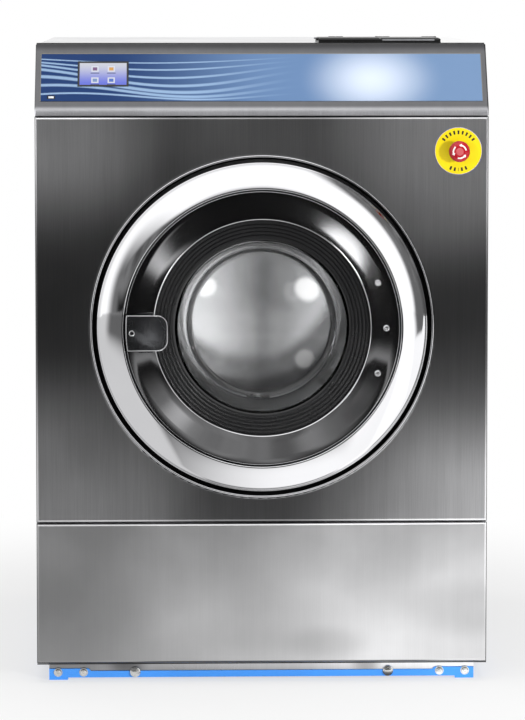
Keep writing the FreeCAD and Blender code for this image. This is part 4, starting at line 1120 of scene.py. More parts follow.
class Palette:
    """Every finish of the machine."""

    # Painted light: the cabinet sheets below are one stainless steel, each given its own lighter or darker
    # base colour as painted light; their patches are painted reflections (highlights and dark reflections),
    # and edge puts painted shade along the side returns.
    panel = BrushedSteel(
        "panel_steel", srgb(122, 122, 123), 0.34, grain=0.09, cloud=0.04, vary=0.04, edge=0.4280,
        painted_reflections=(
            ReflectionPatch(-0.42, 1.06, 0.27, 3.0), ReflectionPatch(0.38, 1.04, 0.30, 2.7), ReflectionPatch(-0.43, 0.31, 0.36, 2.4),
            ReflectionPatch(0.43, 0.31, 0.40, 3.0), ReflectionPatch(-0.16, 1.08, 0.26, 0.2), ReflectionPatch(0.02, 1.08, 0.24, 0.4),
            ReflectionPatch(-0.20, 0.33, 0.24, 0.3), ReflectionPatch(-0.42, 0.75, 0.28, -0.45), ReflectionPatch(0.41, 0.66, 0.28, -0.5)))
    lower = BrushedSteel(
        "lower_panel_steel", srgb(196, 196, 197), 0.40, grain=0.03, relief=0.012, cloud=0.07, vary=0.04,
        edge=0.4280, painted_reflections=(
            ReflectionPatch(0.34, 0.28, 0.38, 0.60), ReflectionPatch(-0.02, 0.29, 0.30, 0.30), ReflectionPatch(-0.43, 0.04, 0.30, -0.45),
            ReflectionPatch(0.015, 0.115, 0.19, -0.18, 2.2), ReflectionPatch(0.125, 0.075, 0.11, -0.20, 2.5),
            ReflectionPatch(0.41, 0.060, 0.20, -0.16, 2.0), ReflectionPatch(0.41, 0.140, 0.18, -0.26, 2.4),
            ReflectionPatch(-0.05, 0.045, 0.28, -0.20, 3.0)))
    # Painted light on the console: its rises paint shade along the top edge and a strong painted highlight
    # along the lower lip.
    console = BrushedSteel("console_steel", srgb(99, 99, 101), 0.32, grain=0.08, cloud=0.04, vary=0.05,
                           painted_light_rises=((1.203, 1.216, 0.45), (1.104, 1.088, 7.0)))
    top = BrushedSteel("top_panel_steel", srgb(234, 234, 235), 0.36, grain=0.06, vary=0.05, stretch=0.0,
                       painted_reflections=(ReflectionPatch(0.38, 1.22, 0.28, 0.55),))
    sides = BrushedSteel("side_panel_steel", srgb(170, 171, 173), 0.38)
    plinth = BrushedSteel(
        "plinth_steel", srgb(175, 175, 177), 0.30, grain=0.06, painted_reflections=(
            ReflectionPatch(-0.38, 0.035, 0.14, -0.4), ReflectionPatch(-0.26, 0.035, 0.05, -0.6),
            ReflectionPatch(0.30, 0.03, 0.26, 0.8), ReflectionPatch(0.20, 0.035, 0.04, -0.5)))
    drum = BrushedSteel("drum_steel", srgb(185, 186, 188), 0.30, grain=0.06)
    drum_sheet = PerforatedSteel("drum_sheet_steel", srgb(185, 186, 188), 0.30, grain=0.06)
    tub = BrushedSteel("tub_steel", srgb(150, 150, 152), 0.40, grain=0.05)
    polished = Finish("polished_steel", srgb(205, 205, 207), 0.06, 1.0, cloud=0.03)
    handle = Finish("handle_steel", srgb(80, 81, 83), 0.28, 1.0, cloud=0.06, vary=0.05)
    screw = Finish("screw_steel", srgb(205, 205, 207), 0.22, 1.0, cloud=0.1, cloud_size=60.0)
    drum_dish = Finish("drum_dish_steel", srgb(200, 201, 203), 0.10, 1.0, cloud=0.05)
    paint = Finish("base_paint", srgb(72, 158, 252), 0.38, cloud=0.06, grit=0.05)
    bolt = Finish("bolt_zinc", srgb(205, 205, 203), 0.17, 1.0, cloud=0.12, cloud_size=90.0)
    primer = Finish("frame_primer", srgb(92, 95, 100), 0.5, cloud=0.1, grit=0.08)
    hopper = Finish("hopper_plastic", srgb(11, 11, 12), 0.34, cloud=0.15, grit=0.08, grit_size=1500.0)
    grip = Finish("hopper_grip", srgb(120, 121, 124), 0.35, cloud_size=40.0)
    plastic = Finish("black_plastic", srgb(26, 26, 28), 0.46, cloud=0.12, grit=0.12, grit_size=1500.0)
    film = PrintedFilm("console_film", srgb(110, 150, 200), 0.30, cloud=0.012, vary=0.03)
    usb_shell = Finish("usb_shell", srgb(30, 30, 33), 0.4, cloud=0.12, cloud_size=90.0)
    usb_tongue = Finish("usb_tongue", srgb(240, 241, 244), 0.45, cloud=0.06, cloud_size=90.0)
    screen = ScreenFace("screen_face", srgb(16, 16, 19), 0.12, cloud=0.2)
    yellow = StopYellow("stop_yellow", srgb(236, 212, 4), 0.42, cloud=0.04, cloud_size=25.0)
    red = StopRed("stop_red", srgb(170, 8, 28), 0.26, cloud=0.05, cloud_size=40.0)
    rubber = Finish("black_rubber", srgb(28, 28, 29), 0.26, cloud=0.12, grit=0.1, grit_size=900.0)
    gap_rubber = Finish("gap_rubber", srgb(14, 14, 15), 0.7, cloud=0.15)
    glass = ClearGlass("bowl_glass", srgb(247, 247, 247), 0.02, cloud=0.02)
    cast = Finish("cast_grey", srgb(84, 85, 88), 0.6, 0.6, cloud=0.12, grit=0.3, grit_size=300.0)
    machined = Finish("machined_steel", srgb(168, 169, 172), 0.28, 1.0)
    valve = Finish("valve_white", srgb(214, 213, 206), 0.45, cloud=0.05, grit=0.05)

    nodes: ClassVar[Tuple[Tuple[Finish, str], ...]] = (
        (panel, "front_panel"), (lower, "lower_panel"), (console, "console_housing"), (top, "top_panel"),
        (sides, "side_panel_left side_panel_right rear_panel"), (plinth, "plinth_strip"),
        (drum_sheet, "drum_shell"), (drum, "drum_back drum_lifters"), (tub, "tub_shell tub_front"),
        (polished, "door_ring door_dish"), (screw, "hinge_screws"), (handle, "door_handle"),
        (paint, "base_front_rail base_rails foot_plates"), (bolt, "base_bolts"),
        (primer, "corner_posts cradle hinge_bracket hinge_arm damper_cylinders motor"),
        (hopper, "hopper_box hopper_lid"), (film, "console_overlay"), (screen, "touchscreen"),
        (plastic, "control_unit stop_switch stop_stem door_lock cable_gland drain_outlet"),
        (usb_shell, "usb_socket"), (yellow, "stop_disc"), (red, "stop_head"), (gap_rubber, "gap_bellows"),
        (rubber, "fill_hose drain_hose door_gasket shaft_seal drive_belt"), (glass, "door_glass"),
        (cast, "tub_back drum_pulley"), (valve, "inlet_valves drain_valve"),
        (machined, "drum_bearings drum_shaft motor_pulley damper_rods suspension_springs"),
        (machined, "hopper_hinge_pin hinge_pin lock_bolt door_tongue"),
    )


# Pieces


class Piece:
    """A sub-assembly that builds its pieces and joins them to the frame."""

    def build(self) -> List[str]:
        """Model and dress the pieces, and give their names."""
        raise NotImplementedError

    @staticmethod
    def coat(piece: Thing, finish: Finish, slot: Slot) -> None:
        """Give a piece its finish.

        Args:
            piece: the piece.
            finish: its finish.
            slot: the record's material slot; not used.
        """
        piece.data.materials.clear()
        piece.data.materials.append(finish.build())

    def dress(self, piece: Thing, finish: Finish, body: Body, slot: Slot, *nodes: str) -> str:
        """Give a piece its finish and let it ride on a body.

        Args:
            piece: the piece.
            finish: its finish.
            body: the body that carries it.
            slot: the record's material slot.
            nodes: frame nodes that it stands for.

        Returns:
            The piece's name.
        """
        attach(piece, body.value)
        self.coat(piece, finish, slot)
        if nodes:
            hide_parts(*nodes)
        return piece.name

    def bend(self, piece: Thing, finish: Finish, slot: Slot, node: str, start: Place, end: Place) -> str:
        """Give a soft piece its finish, put its place into its mesh and hide the frame node that it stands
        for.

        Args:
            piece: the piece.
            finish: its finish.
            slot: the record's material slot.
            node: frame node that it stands for.
            start: last point that stays with the cabinet; not used.
            end: first point that goes with the tub; not used.

        Returns:
            The piece's name.
        """
        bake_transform(piece)
        self.coat(piece, finish, slot)
        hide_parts(node)
        return piece.name


@dataclass
class FrameFinishes(Piece):
    """Finishes of the frame's own nodes."""

    smooth_angle: float = 30.0

    def build(self) -> List[str]:
        """Give each frame node its finish.

        Returns:
            Names of the nodes.
        """
        finishes = {name: finish for finish, names in Palette.nodes for name in names.split()}
        for name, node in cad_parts.items():
            node.data.materials.clear()
            node.data.materials.append(finishes[name].build())
            smooth(node, self.smooth_angle)
        return sorted(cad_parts)


@dataclass
class Door(Piece):
    """Polished ring, dish, gasket and glass bowl. Depths are measured from the panel's front."""

    steps: int = 192
    wall: float = 0.002
    lip_depth: float = -0.016
    ring_outer: float = 0.3135
    ring_inner: float = 0.263
    ring_back: float = -0.002
    ring_crest: float = -0.032
    crest_edge: float = 0.002
    crest_wall: float = 0.0036
    ring_face: Point = (0.3050, -0.0158)
    ring_bevel: Point = (0.3126, -0.0088)
    skirt_edge: float = 0.0012
    dish_outer: float = 0.260
    dish_inner: float = 0.205
    dish_outer_depth: float = -0.029
    dish_inner_depth: float = -0.020
    dish_neck: float = 0.008
    dish_bend: float = 0.003
    dish_edge: float = 0.0015
    dish_edge_wall: float = 0.0026
    skirt_bulge: float = 0.0002
    flank_bulge: float = 0.0003
    ring_bulge: float = 0.0011
    crest_bulge: float = 0.0006
    dish_edge_bulge: float = 0.0005
    dish_bend_bulge: float = 0.00088
    shoulder_bulge: float = -0.0045
    dome_bulge: float = -0.0028
    inner_dome_bulge: float = 0.0026
    inner_shoulder_bulge: float = 0.0036
    mouth_bulge: float = -0.0006
    ridges: int = 5
    ridge_pitch: Point = (-6.9, 1.75)
    gasket_rim: Point = (204.7, -8.6)
    first_ridge: Point = (203.4, -9.4)

    def build(self) -> List[str]:
        """Model the ring, dish, gasket and glass, and give their names."""
        return [self.ring(), self.dish(), self.gasket(), self.glass()]

    def ring(self) -> str:
        """Outer ring with a bulged polished skin.

        Returns:
            The piece's name.
        """
        inner, wall = self.ring_inner, self.wall
        crest = (inner + self.crest_edge, self.ring_crest)
        skirt = (self.ring_outer, self.ring_bevel[1] + self.skirt_edge)
        profile = [(self.ring_outer, self.ring_back), skirt]
        profile += arc_points(skirt, self.ring_bevel, self.skirt_bulge, 4)
        profile += arc_points(self.ring_bevel, self.ring_face, self.flank_bulge, 6)
        profile += arc_points(self.ring_face, crest, self.ring_bulge, 20)
        profile += arc_points(crest, (inner, self.ring_crest + self.crest_edge), self.crest_bulge, 4)
        profile += [(inner, self.lip_depth), (inner + wall, self.lip_depth)]
        profile += [(inner + wall, self.ring_crest + self.crest_wall)]
        profile += [(self.ring_outer - wall, skirt[1] + wall), (self.ring_outer - wall, self.ring_back)]
        piece = settle(spun("ring_skin", profile, DOOR_CENTRE, self.steps), 30)
        return self.dress(piece, Palette.polished, Body.DOOR, Slot.POLISHED, "door_ring")

    def dish_profile(self) -> List[Point]:
        """Outline of the dish's sheet.

        Returns:
            The (radius, depth) points.
        """
        outer, inner, wall = self.dish_outer, self.dish_inner, self.wall
        fall = (self.dish_inner_depth - self.dish_outer_depth) / (outer - inner)
        bend = (inner + self.dish_bend, self.dish_inner_depth - self.dish_bend * fall)
        low = bend[1] + self.dish_bend
        edge = (outer - self.dish_edge, self.dish_outer_depth + self.dish_edge * fall)
        profile = [(outer, self.lip_depth), (outer, self.dish_outer_depth + self.dish_edge)]
        profile += arc_points(profile[-1], edge, self.dish_edge_bulge, 4)
        for share in (0.75, 0.5, 0.25, 0.0):
            profile.append(tuple(b + (e - b) * share for b, e in zip(bend, edge)))
        profile += arc_points(bend, (inner, low), self.dish_bend_bulge, 8)
        profile += [(inner, self.dish_neck), (inner + wall, self.dish_neck), (inner + wall, low)]
        profile += [(bend[0], bend[1] + wall), (outer - wall, self.dish_outer_depth + self.dish_edge_wall)]
        return profile + [(outer - wall, self.lip_depth)]

    def dish(self) -> str:
        """Conical polished dish, cut open for the handle's pocket.

        Returns:
            The piece's name.
        """
        piece = spun("dish_skin", self.dish_profile(), DOOR_CENTRE, self.steps)
        carve(piece, Handle().opening())
        settle(piece, 28)
        return self.dress(piece, Palette.polished, Body.DOOR, Slot.POLISHED, "door_dish")

    def gasket(self) -> str:
        """Rubber gasket with rounded concentric ridges, drawn in millimetres.

        Returns:
            The piece's name.
        """
        ridge = [(0.0, 0.0), (-1.0, -1.2), (-4.0, -1.3), (-5.2, -0.2), (-5.8, 2.2), (-6.4, 2.4)]
        front = [self.gasket_rim]
        for index in range(self.ridges):
            radius, depth = (a + b * index for a, b in zip(self.first_ridge, self.ridge_pitch))
            front += [(radius + across, depth + down) for across, down in ridge]
        front += [(166.6, 0.6), (166.0, 1.0), (166.0, 1.7)]
        back = [(176.3, 1.7), (176.3, 10.3), (172.0, 10.3), (172.0, 13.7), (self.gasket_rim[0], 13.7)]
        profile = [mm(*point) for point in front + back]
        piece = settle(spun("bowl_gasket", profile, DOOR_CENTRE, self.steps))
        return self.dress(piece, Palette.rubber, Body.DOOR, Slot.RUBBER, "door_gasket")

    def glass(self) -> str:
        """Glass bowl with a rounded shoulder and a shallow dome, drawn in millimetres.

        Returns:
            The piece's name.
        """
        shoulder, dome, tip = mm(152, 66), mm(136, 83), mm(0, 94)
        inner_tip, inner_dome, inner_shoulder = mm(0, 86), mm(131, 75.6), mm(144, 62)
        mouth, lip = mm(160, 4), mm(162, 2)
        profile = [mm(176, 2), mm(176, 10), mm(168, 10), shoulder]
        profile += arc_points(shoulder, dome, self.shoulder_bulge, 8)
        profile += arc_points(dome, tip, self.dome_bulge, 14)
        profile += [inner_tip] + arc_points(inner_tip, inner_dome, self.inner_dome_bulge, 14)
        profile += arc_points(inner_dome, inner_shoulder, self.inner_shoulder_bulge, 8)
        profile += [mouth] + arc_points(mouth, lip, self.mouth_bulge, 3)
        piece = settle(spun("bowl_glass", profile, DOOR_CENTRE, self.steps))
        return self.dress(piece, Palette.glass, Body.DOOR, Slot.GLASS, "door_glass")


@dataclass
class Handle(Piece):
    """Handle plate with its pocket in the dish, a polished tube along its edge that stands in for the edge's
    highlight, and its eyelet.
    """

    low: float = AXIS_Z - 0.042
    high: float = AXIS_Z + 0.026
    right: float = -0.179
    corner: float = 0.019
    end_radius: float = 0.259
    end_points: int = 13
    front: float = FRONT_Y - 0.034
    thickness: float = 0.003
    edge: float = 0.0014
    hole: Place = (-0.247, FRONT_Y - 0.034, AXIS_Z - 0.008)
    hole_radius: float = 0.003
    side_left: float = -0.2545
    side_right: float = -0.2105
    side_back: float = FRONT_Y - 0.018
    side_inset: float = 0.0002
    side_overlap: float = 0.0005
    rim_inset: float = 0.0012
    rim_proud: float = 0.0002
    rim_radius: float = 0.0011
    rim_middle: float = -0.2165
    eyelet_radius: float = 0.0046
    eyelet_tube: float = 0.0013
    opening_low: Point = (-0.2585, FRONT_Y - 0.060)
    opening_high: Point = (-0.2065, FRONT_Y - 0.010)
    opening_room: float = 0.002
    pocket_low: Point = (-0.2575, FRONT_Y - 0.0255)
    pocket_high: Point = (-0.2072, FRONT_Y - 0.003)
    pocket_room: float = 0.004
    pocket_right_wall: float = 0.0005
    wall: float = 0.002

    def build(self) -> List[str]:
        """Model the pocket, plate, rim and eyelet, and give their names."""
        return [self.pocket(), self.plate(), self.rim(), self.eyelet()]

    def opening(self) -> Thing:
        """Tool that opens the dish behind the handle."""
        low, high = self.low - self.opening_room, self.high + self.opening_room
        return boxed("pocket_tool", (*self.opening_low, low), (*self.opening_high, high))

    def pocket(self) -> str:
        """Sheet pocket behind the handle.

        Returns:
            The piece's name.
        """
        low = (*self.pocket_low, self.low - self.pocket_room)
        high = (*self.pocket_high, self.high + self.pocket_room)
        piece = boxed("handle_pocket", low, high)
        inner_low = (low[0] + self.wall, low[1] - CUT_OVER, low[2] + self.wall)
        inner_high = (high[0] - self.pocket_right_wall, high[1] - self.wall, high[2] - self.wall)
        carve(piece, boxed("pocket_hollow", inner_low, inner_high))
        settle(piece, 30)
        return self.dress(piece, Palette.handle, Body.DOOR, Slot.POLISHED)

    def outline(self) -> List[Point]:
        """Outline of the plate: two rounded free corners and a left end along the dish's edge.

        Returns:
            The (x, z) points.
        """
        low, high, right = self.low, self.high, self.right
        inner, bulge = right - self.corner, -self.corner * (1 - math.sqrt(0.5))
        lower, upper = (right, low + self.corner), (right, high - self.corner)
        outline = [(inner, low)] + arc_points((inner, low), lower, bulge, 8)
        outline += [upper] + arc_points(upper, (inner, high), bulge, 8)
        heights = [high - (high - low) * step / (self.end_points - 1) for step in range(self.end_points)]
        return outline + [(-math.sqrt(self.end_radius ** 2 - (z - AXIS_Z) ** 2), z) for z in heights]

    def plate(self) -> str:
        """Handle plate with deep sides and a small hole.

        Returns:
            The piece's name.
        """
        piece = plate("handle_plate", self.outline(), self.front, self.thickness, self.edge)
        carve(piece, bar("hole_tool", self.hole, self.hole_radius, 2 * CUT_OVER, 32))
        side_front = self.front + self.thickness - self.side_overlap
        feet = (self.low + self.side_inset, self.high - self.thickness - self.side_inset)
        sides = []
        for foot in feet:
            corner = (self.side_right, self.side_back, foot + self.thickness)
            sides.append(boxed("handle_side", (self.side_left, side_front, foot), corner))
        settle(joined("handle_plate", [piece] + sides), 30)
        return self.dress(piece, Palette.handle, Body.HANDLE, Slot.POLISHED, "door_handle")

    def rim(self) -> str:
        """Polished tube round the handle plate, a stand-in for the highlight along its edge.

        Returns:
            The piece's name.
        """
        outline = self.outline()
        middle = Vector((self.rim_middle, self.hole[2]))
        start_fresh()
        bpy.ops.mesh.primitive_circle_add(vertices=len(outline), radius=self.corner)
        piece = take("handle_edge_highlight")
        for vertex, point in zip(piece.data.vertices, outline):
            inside = Vector(point) + (middle - Vector(point)).normalized() * self.rim_inset
            vertex.co = (inside.x, self.front - self.rim_proud, inside.y)
        bpy.ops.object.convert(target="CURVE")
        bpy.context.object.data.bevel_depth = self.rim_radius
        bpy.context.object.data.bevel_resolution = 2
        bpy.ops.object.convert(target="MESH")
        piece = settle(bpy.context.object, 60)
        return self.dress(piece, Palette.polished, Body.HANDLE, Slot.POLISHED)

    def eyelet(self) -> str:
        """Bright eyelet round the handle's hole.

        Returns:
            The piece's name.
        """
        profile = tube_profile(self.eyelet_radius, self.eyelet_tube, 12)
        piece = settle(spun("handle_eyelet", profile, self.hole, 32), 60)
        return self.dress(piece, Palette.polished, Body.HANDLE, Slot.POLISHED)


@dataclass
class PanelHole(Piece):
    """Rolled bright edge of the round hole in the front panel."""

    radius: float = 0.3247
    tube: float = 0.0023
    steps: int = 192

    def build(self) -> List[str]:
        """Model the rolled edge.

        Returns:
            Names of the new pieces.
        """
        profile = tube_profile(self.radius, self.tube, 16)
        piece = settle(spun("hole_edge", profile, DOOR_CENTRE, self.steps), 60)
        return [self.dress(piece, Palette.polished, Body.CABINET, Slot.POLISHED)]


@dataclass
class DrumBack(Piece):
    """Shallow dished sheet of the drum's back. Depths are measured from the node's front."""

    middle: float = 0.0055
    edge: float = -0.010
    back: float = 0.0235
    radius: float = 0.306
    bulge: float = 0.0039
    steps: int = 128

    def build(self) -> List[str]:
        """Model the back.

        Returns:
            Names of the new pieces.
        """
        low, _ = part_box("drum_back")
        start, end = (0.0, self.middle), (self.radius, self.edge)
        profile = [start] + arc_points(start, end, self.bulge, 24)
        profile += [(self.radius, self.back), (0.0, self.back)]
        piece = settle(spun("drum_dish", profile, (0.0, low.y, AXIS_Z), self.steps, closed=False))
        return [self.dress(piece, Palette.drum_dish, Body.DRUM, Slot.POLISHED, "drum_back")]


@dataclass
class SoftParts(Piece):
    """Springs, hoses and bellows between the cabinet and the floating tub."""

    spring_x: float = 0.378
    spring_y: Point = (-0.282, 0.178)
    spring_low: float = 0.0594
    spring_high: float = 0.2250
    coil: float = 0.024
    wire: float = 0.005
    turns: int = 5
    hose_inner: float = 0.0243
    hose_outer: float = 0.0273
    hose_groove: float = 0.0014
    hose_cuff: float = 0.034
    hose_folds: int = 6
    drain_radius: float = 0.0333
    drain_bend: float = 0.075
    drain_free: Point = (0.30, 0.02)
    drop_steps: int = 4
    bend_steps: int = 12
    run_steps: int = 24
    hose_wall: float = 0.003
    bellows_ends: Point = (0.013, 0.052)

    def build(self) -> List[str]:
        """Model the soft pieces and give their names."""
        return [self.springs(), self.fill_hose(), self.drain_hose(), self.bellows()]

    def springs(self) -> str:
        """Four coil springs.

        Returns:
            The piece's name.
        """
        springs = [self.spring(side * self.spring_x, y) for y in self.spring_y for side in (-1, 1)]
        piece = joined("spring_coils", springs)
        low, high = (0.0, 0.0, self.spring_low), (0.0, 0.0, self.spring_high)
        return self.bend(piece, Palette.machined, Slot.MACHINED, "suspension_springs", low, high)

    def spring(self, x: float, y: float) -> Thing:
        """One coil spring of round wire.

        Args:
            x: place across.
            y: place along the depth.

        Returns:
            The spring.
        """
        start_fresh()
        bpy.ops.mesh.primitive_circle_add(vertices=12, radius=self.wire, location=(self.coil, 0, 0),
                                          rotation=(math.pi / 2, 0, 0))
        piece = take("spring_coil")
        fix_place()
        pitch = (self.spring_high - self.spring_low) / self.turns
        modify(piece, "SCREW", angle=2 * math.pi, screw_offset=pitch, iterations=self.turns, steps=32,
               render_steps=32)
        with editing():
            bpy.ops.mesh.fill_holes(sides=0)
            face_outwards(merge=False)
        piece.location = (x, y, self.spring_low)
        return settle(piece)

    def fill_hose(self) -> str:
        """Corrugated hose from the hopper down to the tub.

        Returns:
            The piece's name.
        """
        low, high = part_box("fill_hose")
        x, y = (low.x + high.x) / 2, (low.y + high.y) / 2
        length, cuff, outer = high.z - low.z, self.hose_cuff, self.hose_outer
        pitch = (length - 2 * cuff) / self.hose_folds
        groove = outer - self.hose_groove
        profile = [(outer, 0.0), (outer, cuff)]
        for index in range(self.hose_folds):
            foot = cuff + index * pitch
            profile += [(groove, foot + 0.25 * pitch), (groove, foot + 0.5 * pitch)]
            profile += [(outer, foot + 0.75 * pitch), (outer, foot + pitch)]
        profile += [(outer, length), (self.hose_inner, length), (self.hose_inner, 0.0)]
        piece = settle(spun("fill_hose_skin", profile, (x, y, low.z), 48, upright=True), 50)
        start, end = (x, y, high.z - cuff), (x, y, low.z + cuff)
        return self.bend(piece, Palette.rubber, Slot.RUBBER, "fill_hose", start, end)

    def drain_hose(self) -> str:
        """Hose that bends from the drain valve to the rear.

        Returns:
            The piece's name.
        """
        low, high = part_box("drain_hose")
        bend, middle, y = self.drain_bend, low.z + self.drain_radius, low.y + self.drain_radius
        drop, run = high.z - middle - bend, high.y - y - bend
        start_fresh()
        bpy.ops.mesh.primitive_circle_add(vertices=40, radius=self.drain_radius, location=(0, y, high.z))
        piece = take("drain_hose_skin")
        fix_place()
        with editing():
            for _ in range(self.drop_steps):
                extrude((0, 0, -drop / self.drop_steps))
            turn_centre = (0, y + bend, middle + bend)
            bpy.ops.mesh.spin(steps=self.bend_steps, angle=math.pi / 2, center=turn_centre, axis=(1, 0, 0))
            for _ in range(self.run_steps):
                extrude((0, run / self.run_steps, 0))
            face_outwards()
        modify(piece, "SOLIDIFY", thickness=self.hose_wall, offset=-1.0)
        settle(piece)
        start = (0.0, y + bend + self.drain_free[0], middle)
        end = (0.0, y, middle + bend + self.drain_free[1])
        return self.bend(piece, Palette.rubber, Slot.RUBBER, "drain_hose", start, end)

    def bellows(self) -> str:
        """Folded rubber skin behind the hole of the front panel, drawn in millimetres.

        Returns:
            The piece's name.
        """
        front = [(326.8, 6.0), (326.8, 13.0), (324.8, 17.0), (319.2, 23.5), (317.8, 29.0), (319.2, 34.5),
                 (324.8, 48.0), (326.8, 52.0), (326.8, 57.7)]
        back = [(328.8, 57.7), (328.8, 51.0), (326.6, 46.5), (321.2, 34.0), (320.2, 29.0), (321.2, 24.0),
                (326.6, 17.5), (328.8, 13.0), (328.8, 6.0)]
        profile = [mm(*point) for point in front + back]
        piece = settle(spun("gap_bellows_skin", profile, DOOR_CENTRE, 160), 50)
        start, end = ((0.0, FRONT_Y + depth, AXIS_Z) for depth in self.bellows_ends)
        return self.bend(piece, Palette.gap_rubber, Slot.RUBBER, "gap_bellows", start, end)


@dataclass
class BaseBolts(Piece):
    """Washers and heads over the bolts of the front rail."""

    outer: float = 0.391
    pitch: float = 0.049
    middle: float = 0.243
    height: float = 0.0145
    rail_front: float = -0.432
    foot: float = -0.0002
    washer: Point = (0.0082, -0.0012)
    head: Point = (0.0068, -0.0014)
    head_top: float = -0.0050
    head_bulge: float = 0.0011
    head_gap: float = 0.0001
    socket_radius: float = 0.0026
    socket_length: float = 0.005
    flange: Point = (0.0098, -0.0010)
    flange_top: Point = (0.0078, -0.0020)
    hex_middle: float = -0.0045
    hex_length: float = 0.0055
    hex_edge: float = 0.0007

    def build(self) -> List[str]:
        """Model the heads.

        Returns:
            Names of the new pieces.
        """
        places = [side * x for x in (self.outer, self.outer - self.pitch) for side in (-1, 1)]
        heads = [self.screw(x) for x in places] + [self.hexagon(side * self.middle) for side in (-1, 1)]
        piece = settle(joined("rail_bolt_heads", heads), 30)
        return [self.dress(piece, Palette.bolt, Body.CABINET, Slot.FASTENER)]

    def screw(self, x: float) -> Thing:
        """Domed screw with a socket.

        Args:
            x: place across.

        Returns:
            The screw head.
        """
        neck = (self.head[0], self.washer[1] - self.head_gap)
        profile = [(0.0, self.foot), (self.washer[0], self.foot), self.washer, neck, self.head]
        profile += arc_points(self.head, (0.0, self.head_top), self.head_bulge, 8)
        piece = spun("screw_head", profile, (x, self.rail_front, self.height), 32, closed=False)
        place = (x, self.rail_front + self.head_top, self.height)
        carve(piece, bar("socket_tool", place, self.socket_radius, self.socket_length, 6))
        return piece

    def hexagon(self, x: float) -> Thing:
        """Hexagon head on a flanged washer.

        Args:
            x: place across.

        Returns:
            The bolt head.
        """
        profile = [(0.0, self.foot), (self.flange[0], self.foot), self.flange, self.flange_top]
        profile += [(0.0, self.flange_top[1])]
        flange = spun("hex_flange", profile, (x, self.rail_front, self.height), 40, closed=False)
        place = (x, self.rail_front + self.hex_middle, self.height)
        head = bar("hex_head", place, self.flange_top[0], self.hex_length, 6)
        with editing():
            bpy.ops.mesh.bevel(offset=self.hex_edge, segments=2, affect="EDGES")
        return joined("hex_flange", [flange, head])


@dataclass
class HopperTrim(Piece):
    """Two raised leaves, a latch and a grip on the detergent lid."""

    split: float = 0.0015
    inset: float = 0.003
    rise: float = 0.0012
    sink: float = 0.001
    lid_top: float = 0.005
    right_margin: float = 0.0025
    back_margin: float = 0.012
    leaf_edge: float = 0.0012
    latch_low: Place = (-0.0045, 0.010, -0.004)
    latch_high: Place = (0.004, 0.022, 0.001)
    latch_edge: float = 0.001
    grip_margins: Point = (0.004, 0.012)
    grip_depths: Point = (-0.0016, 0.001)
    grip_heights: Point = (0.0008, -0.0012)
    grip_edge: float = 0.0006

    def build(self) -> List[str]:
        """Model the trim.

        Returns:
            Names of the new pieces.
        """
        low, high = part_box("hopper_lid")
        middle, right = (low.x + high.x) / 2, high.x - self.right_margin
        front, back, top = low.y + self.inset, high.y - self.back_margin, low.z + self.lid_top
        spans = ((low.x + self.inset, middle - self.split), (middle + self.split, right - self.inset))
        corner = Vector((low.x, low.y, top))
        latch_low, latch_high = corner + Vector(self.latch_low), corner + Vector(self.latch_high)
        parts = []
        for start, end in spans:
            leaf_low, leaf_high = (start, front, top - self.sink), (end, back, top + self.rise)
            parts.append(boxed("lid_leaf", leaf_low, leaf_high, self.leaf_edge))
        parts.append(boxed("lid_latch", latch_low, latch_high, self.latch_edge))
        piece = settle(joined("lid_leaves", parts))
        grip_low = (middle + self.grip_margins[0], low.y + self.grip_depths[0], low.z + self.grip_heights[0])
        grip_high = (right - self.grip_margins[1], low.y + self.grip_depths[1], top + self.grip_heights[1])
        grip = settle(boxed("lid_grip", grip_low, grip_high, self.grip_edge))
        return [self.dress(piece, Palette.hopper, Body.LID, Slot.PLASTIC),
                self.dress(grip, Palette.grip, Body.LID, Slot.PLASTIC)]


@dataclass
class StopButton(Piece):
    """Emergency-stop disc and mushroom head. Depths are measured from the panel's front."""

    head_radius: float = 0.020
    rim_depth: float = -0.0260
    rim_back: Point = (0.019, -0.0236)
    neck: Point = (0.0158, -0.0194)
    shoulder: Point = (0.0085, -0.0352)
    button: Tuple[Point, ...] = ((0.0, -0.0362), (0.0062, -0.0360), (0.0070, -0.0352), (0.0078, -0.0348))
    crown_bulge: float = -0.0022
    rim_bulge: float = -0.0005
    disc_radius: float = 0.045
    disc_front: float = -0.002
    disc_edge: float = 0.0006
    hole_radius: float = 0.0112

    def build(self) -> List[str]:
        """Model the button and give the names of its pieces."""
        return [self.head(), self.disc()]

    def head(self) -> str:
        """Mushroom head with a raised middle and a rounded rim.

        Returns:
            The piece's name.
        """
        rim = (self.head_radius, self.rim_depth)
        profile = list(self.button) + [self.shoulder]
        profile += arc_points(self.shoulder, rim, self.crown_bulge, 12)
        profile += arc_points(rim, self.rim_back, self.rim_bulge, 4)
        profile += [self.neck, (0.0, self.neck[1])]
        piece = settle(spun("stop_mushroom", profile, STOP_CENTRE, 64, closed=False))
        return self.dress(piece, Palette.red, Body.STOP_CAP, Slot.RED, "stop_head")

    def disc(self) -> str:
        """Flat disc with a softened edge.

        Returns:
            The piece's name.
        """
        outer, hole, front, edge = self.disc_radius, self.hole_radius, self.disc_front, self.disc_edge
        profile = [(hole, 0.0), (hole, front), (outer - edge, front), (outer, front + edge), (outer, 0.0)]
        piece = settle(spun("stop_plate", profile, STOP_CENTRE, 96))
        return self.dress(piece, Palette.yellow, Body.CABINET, Slot.YELLOW, "stop_disc")


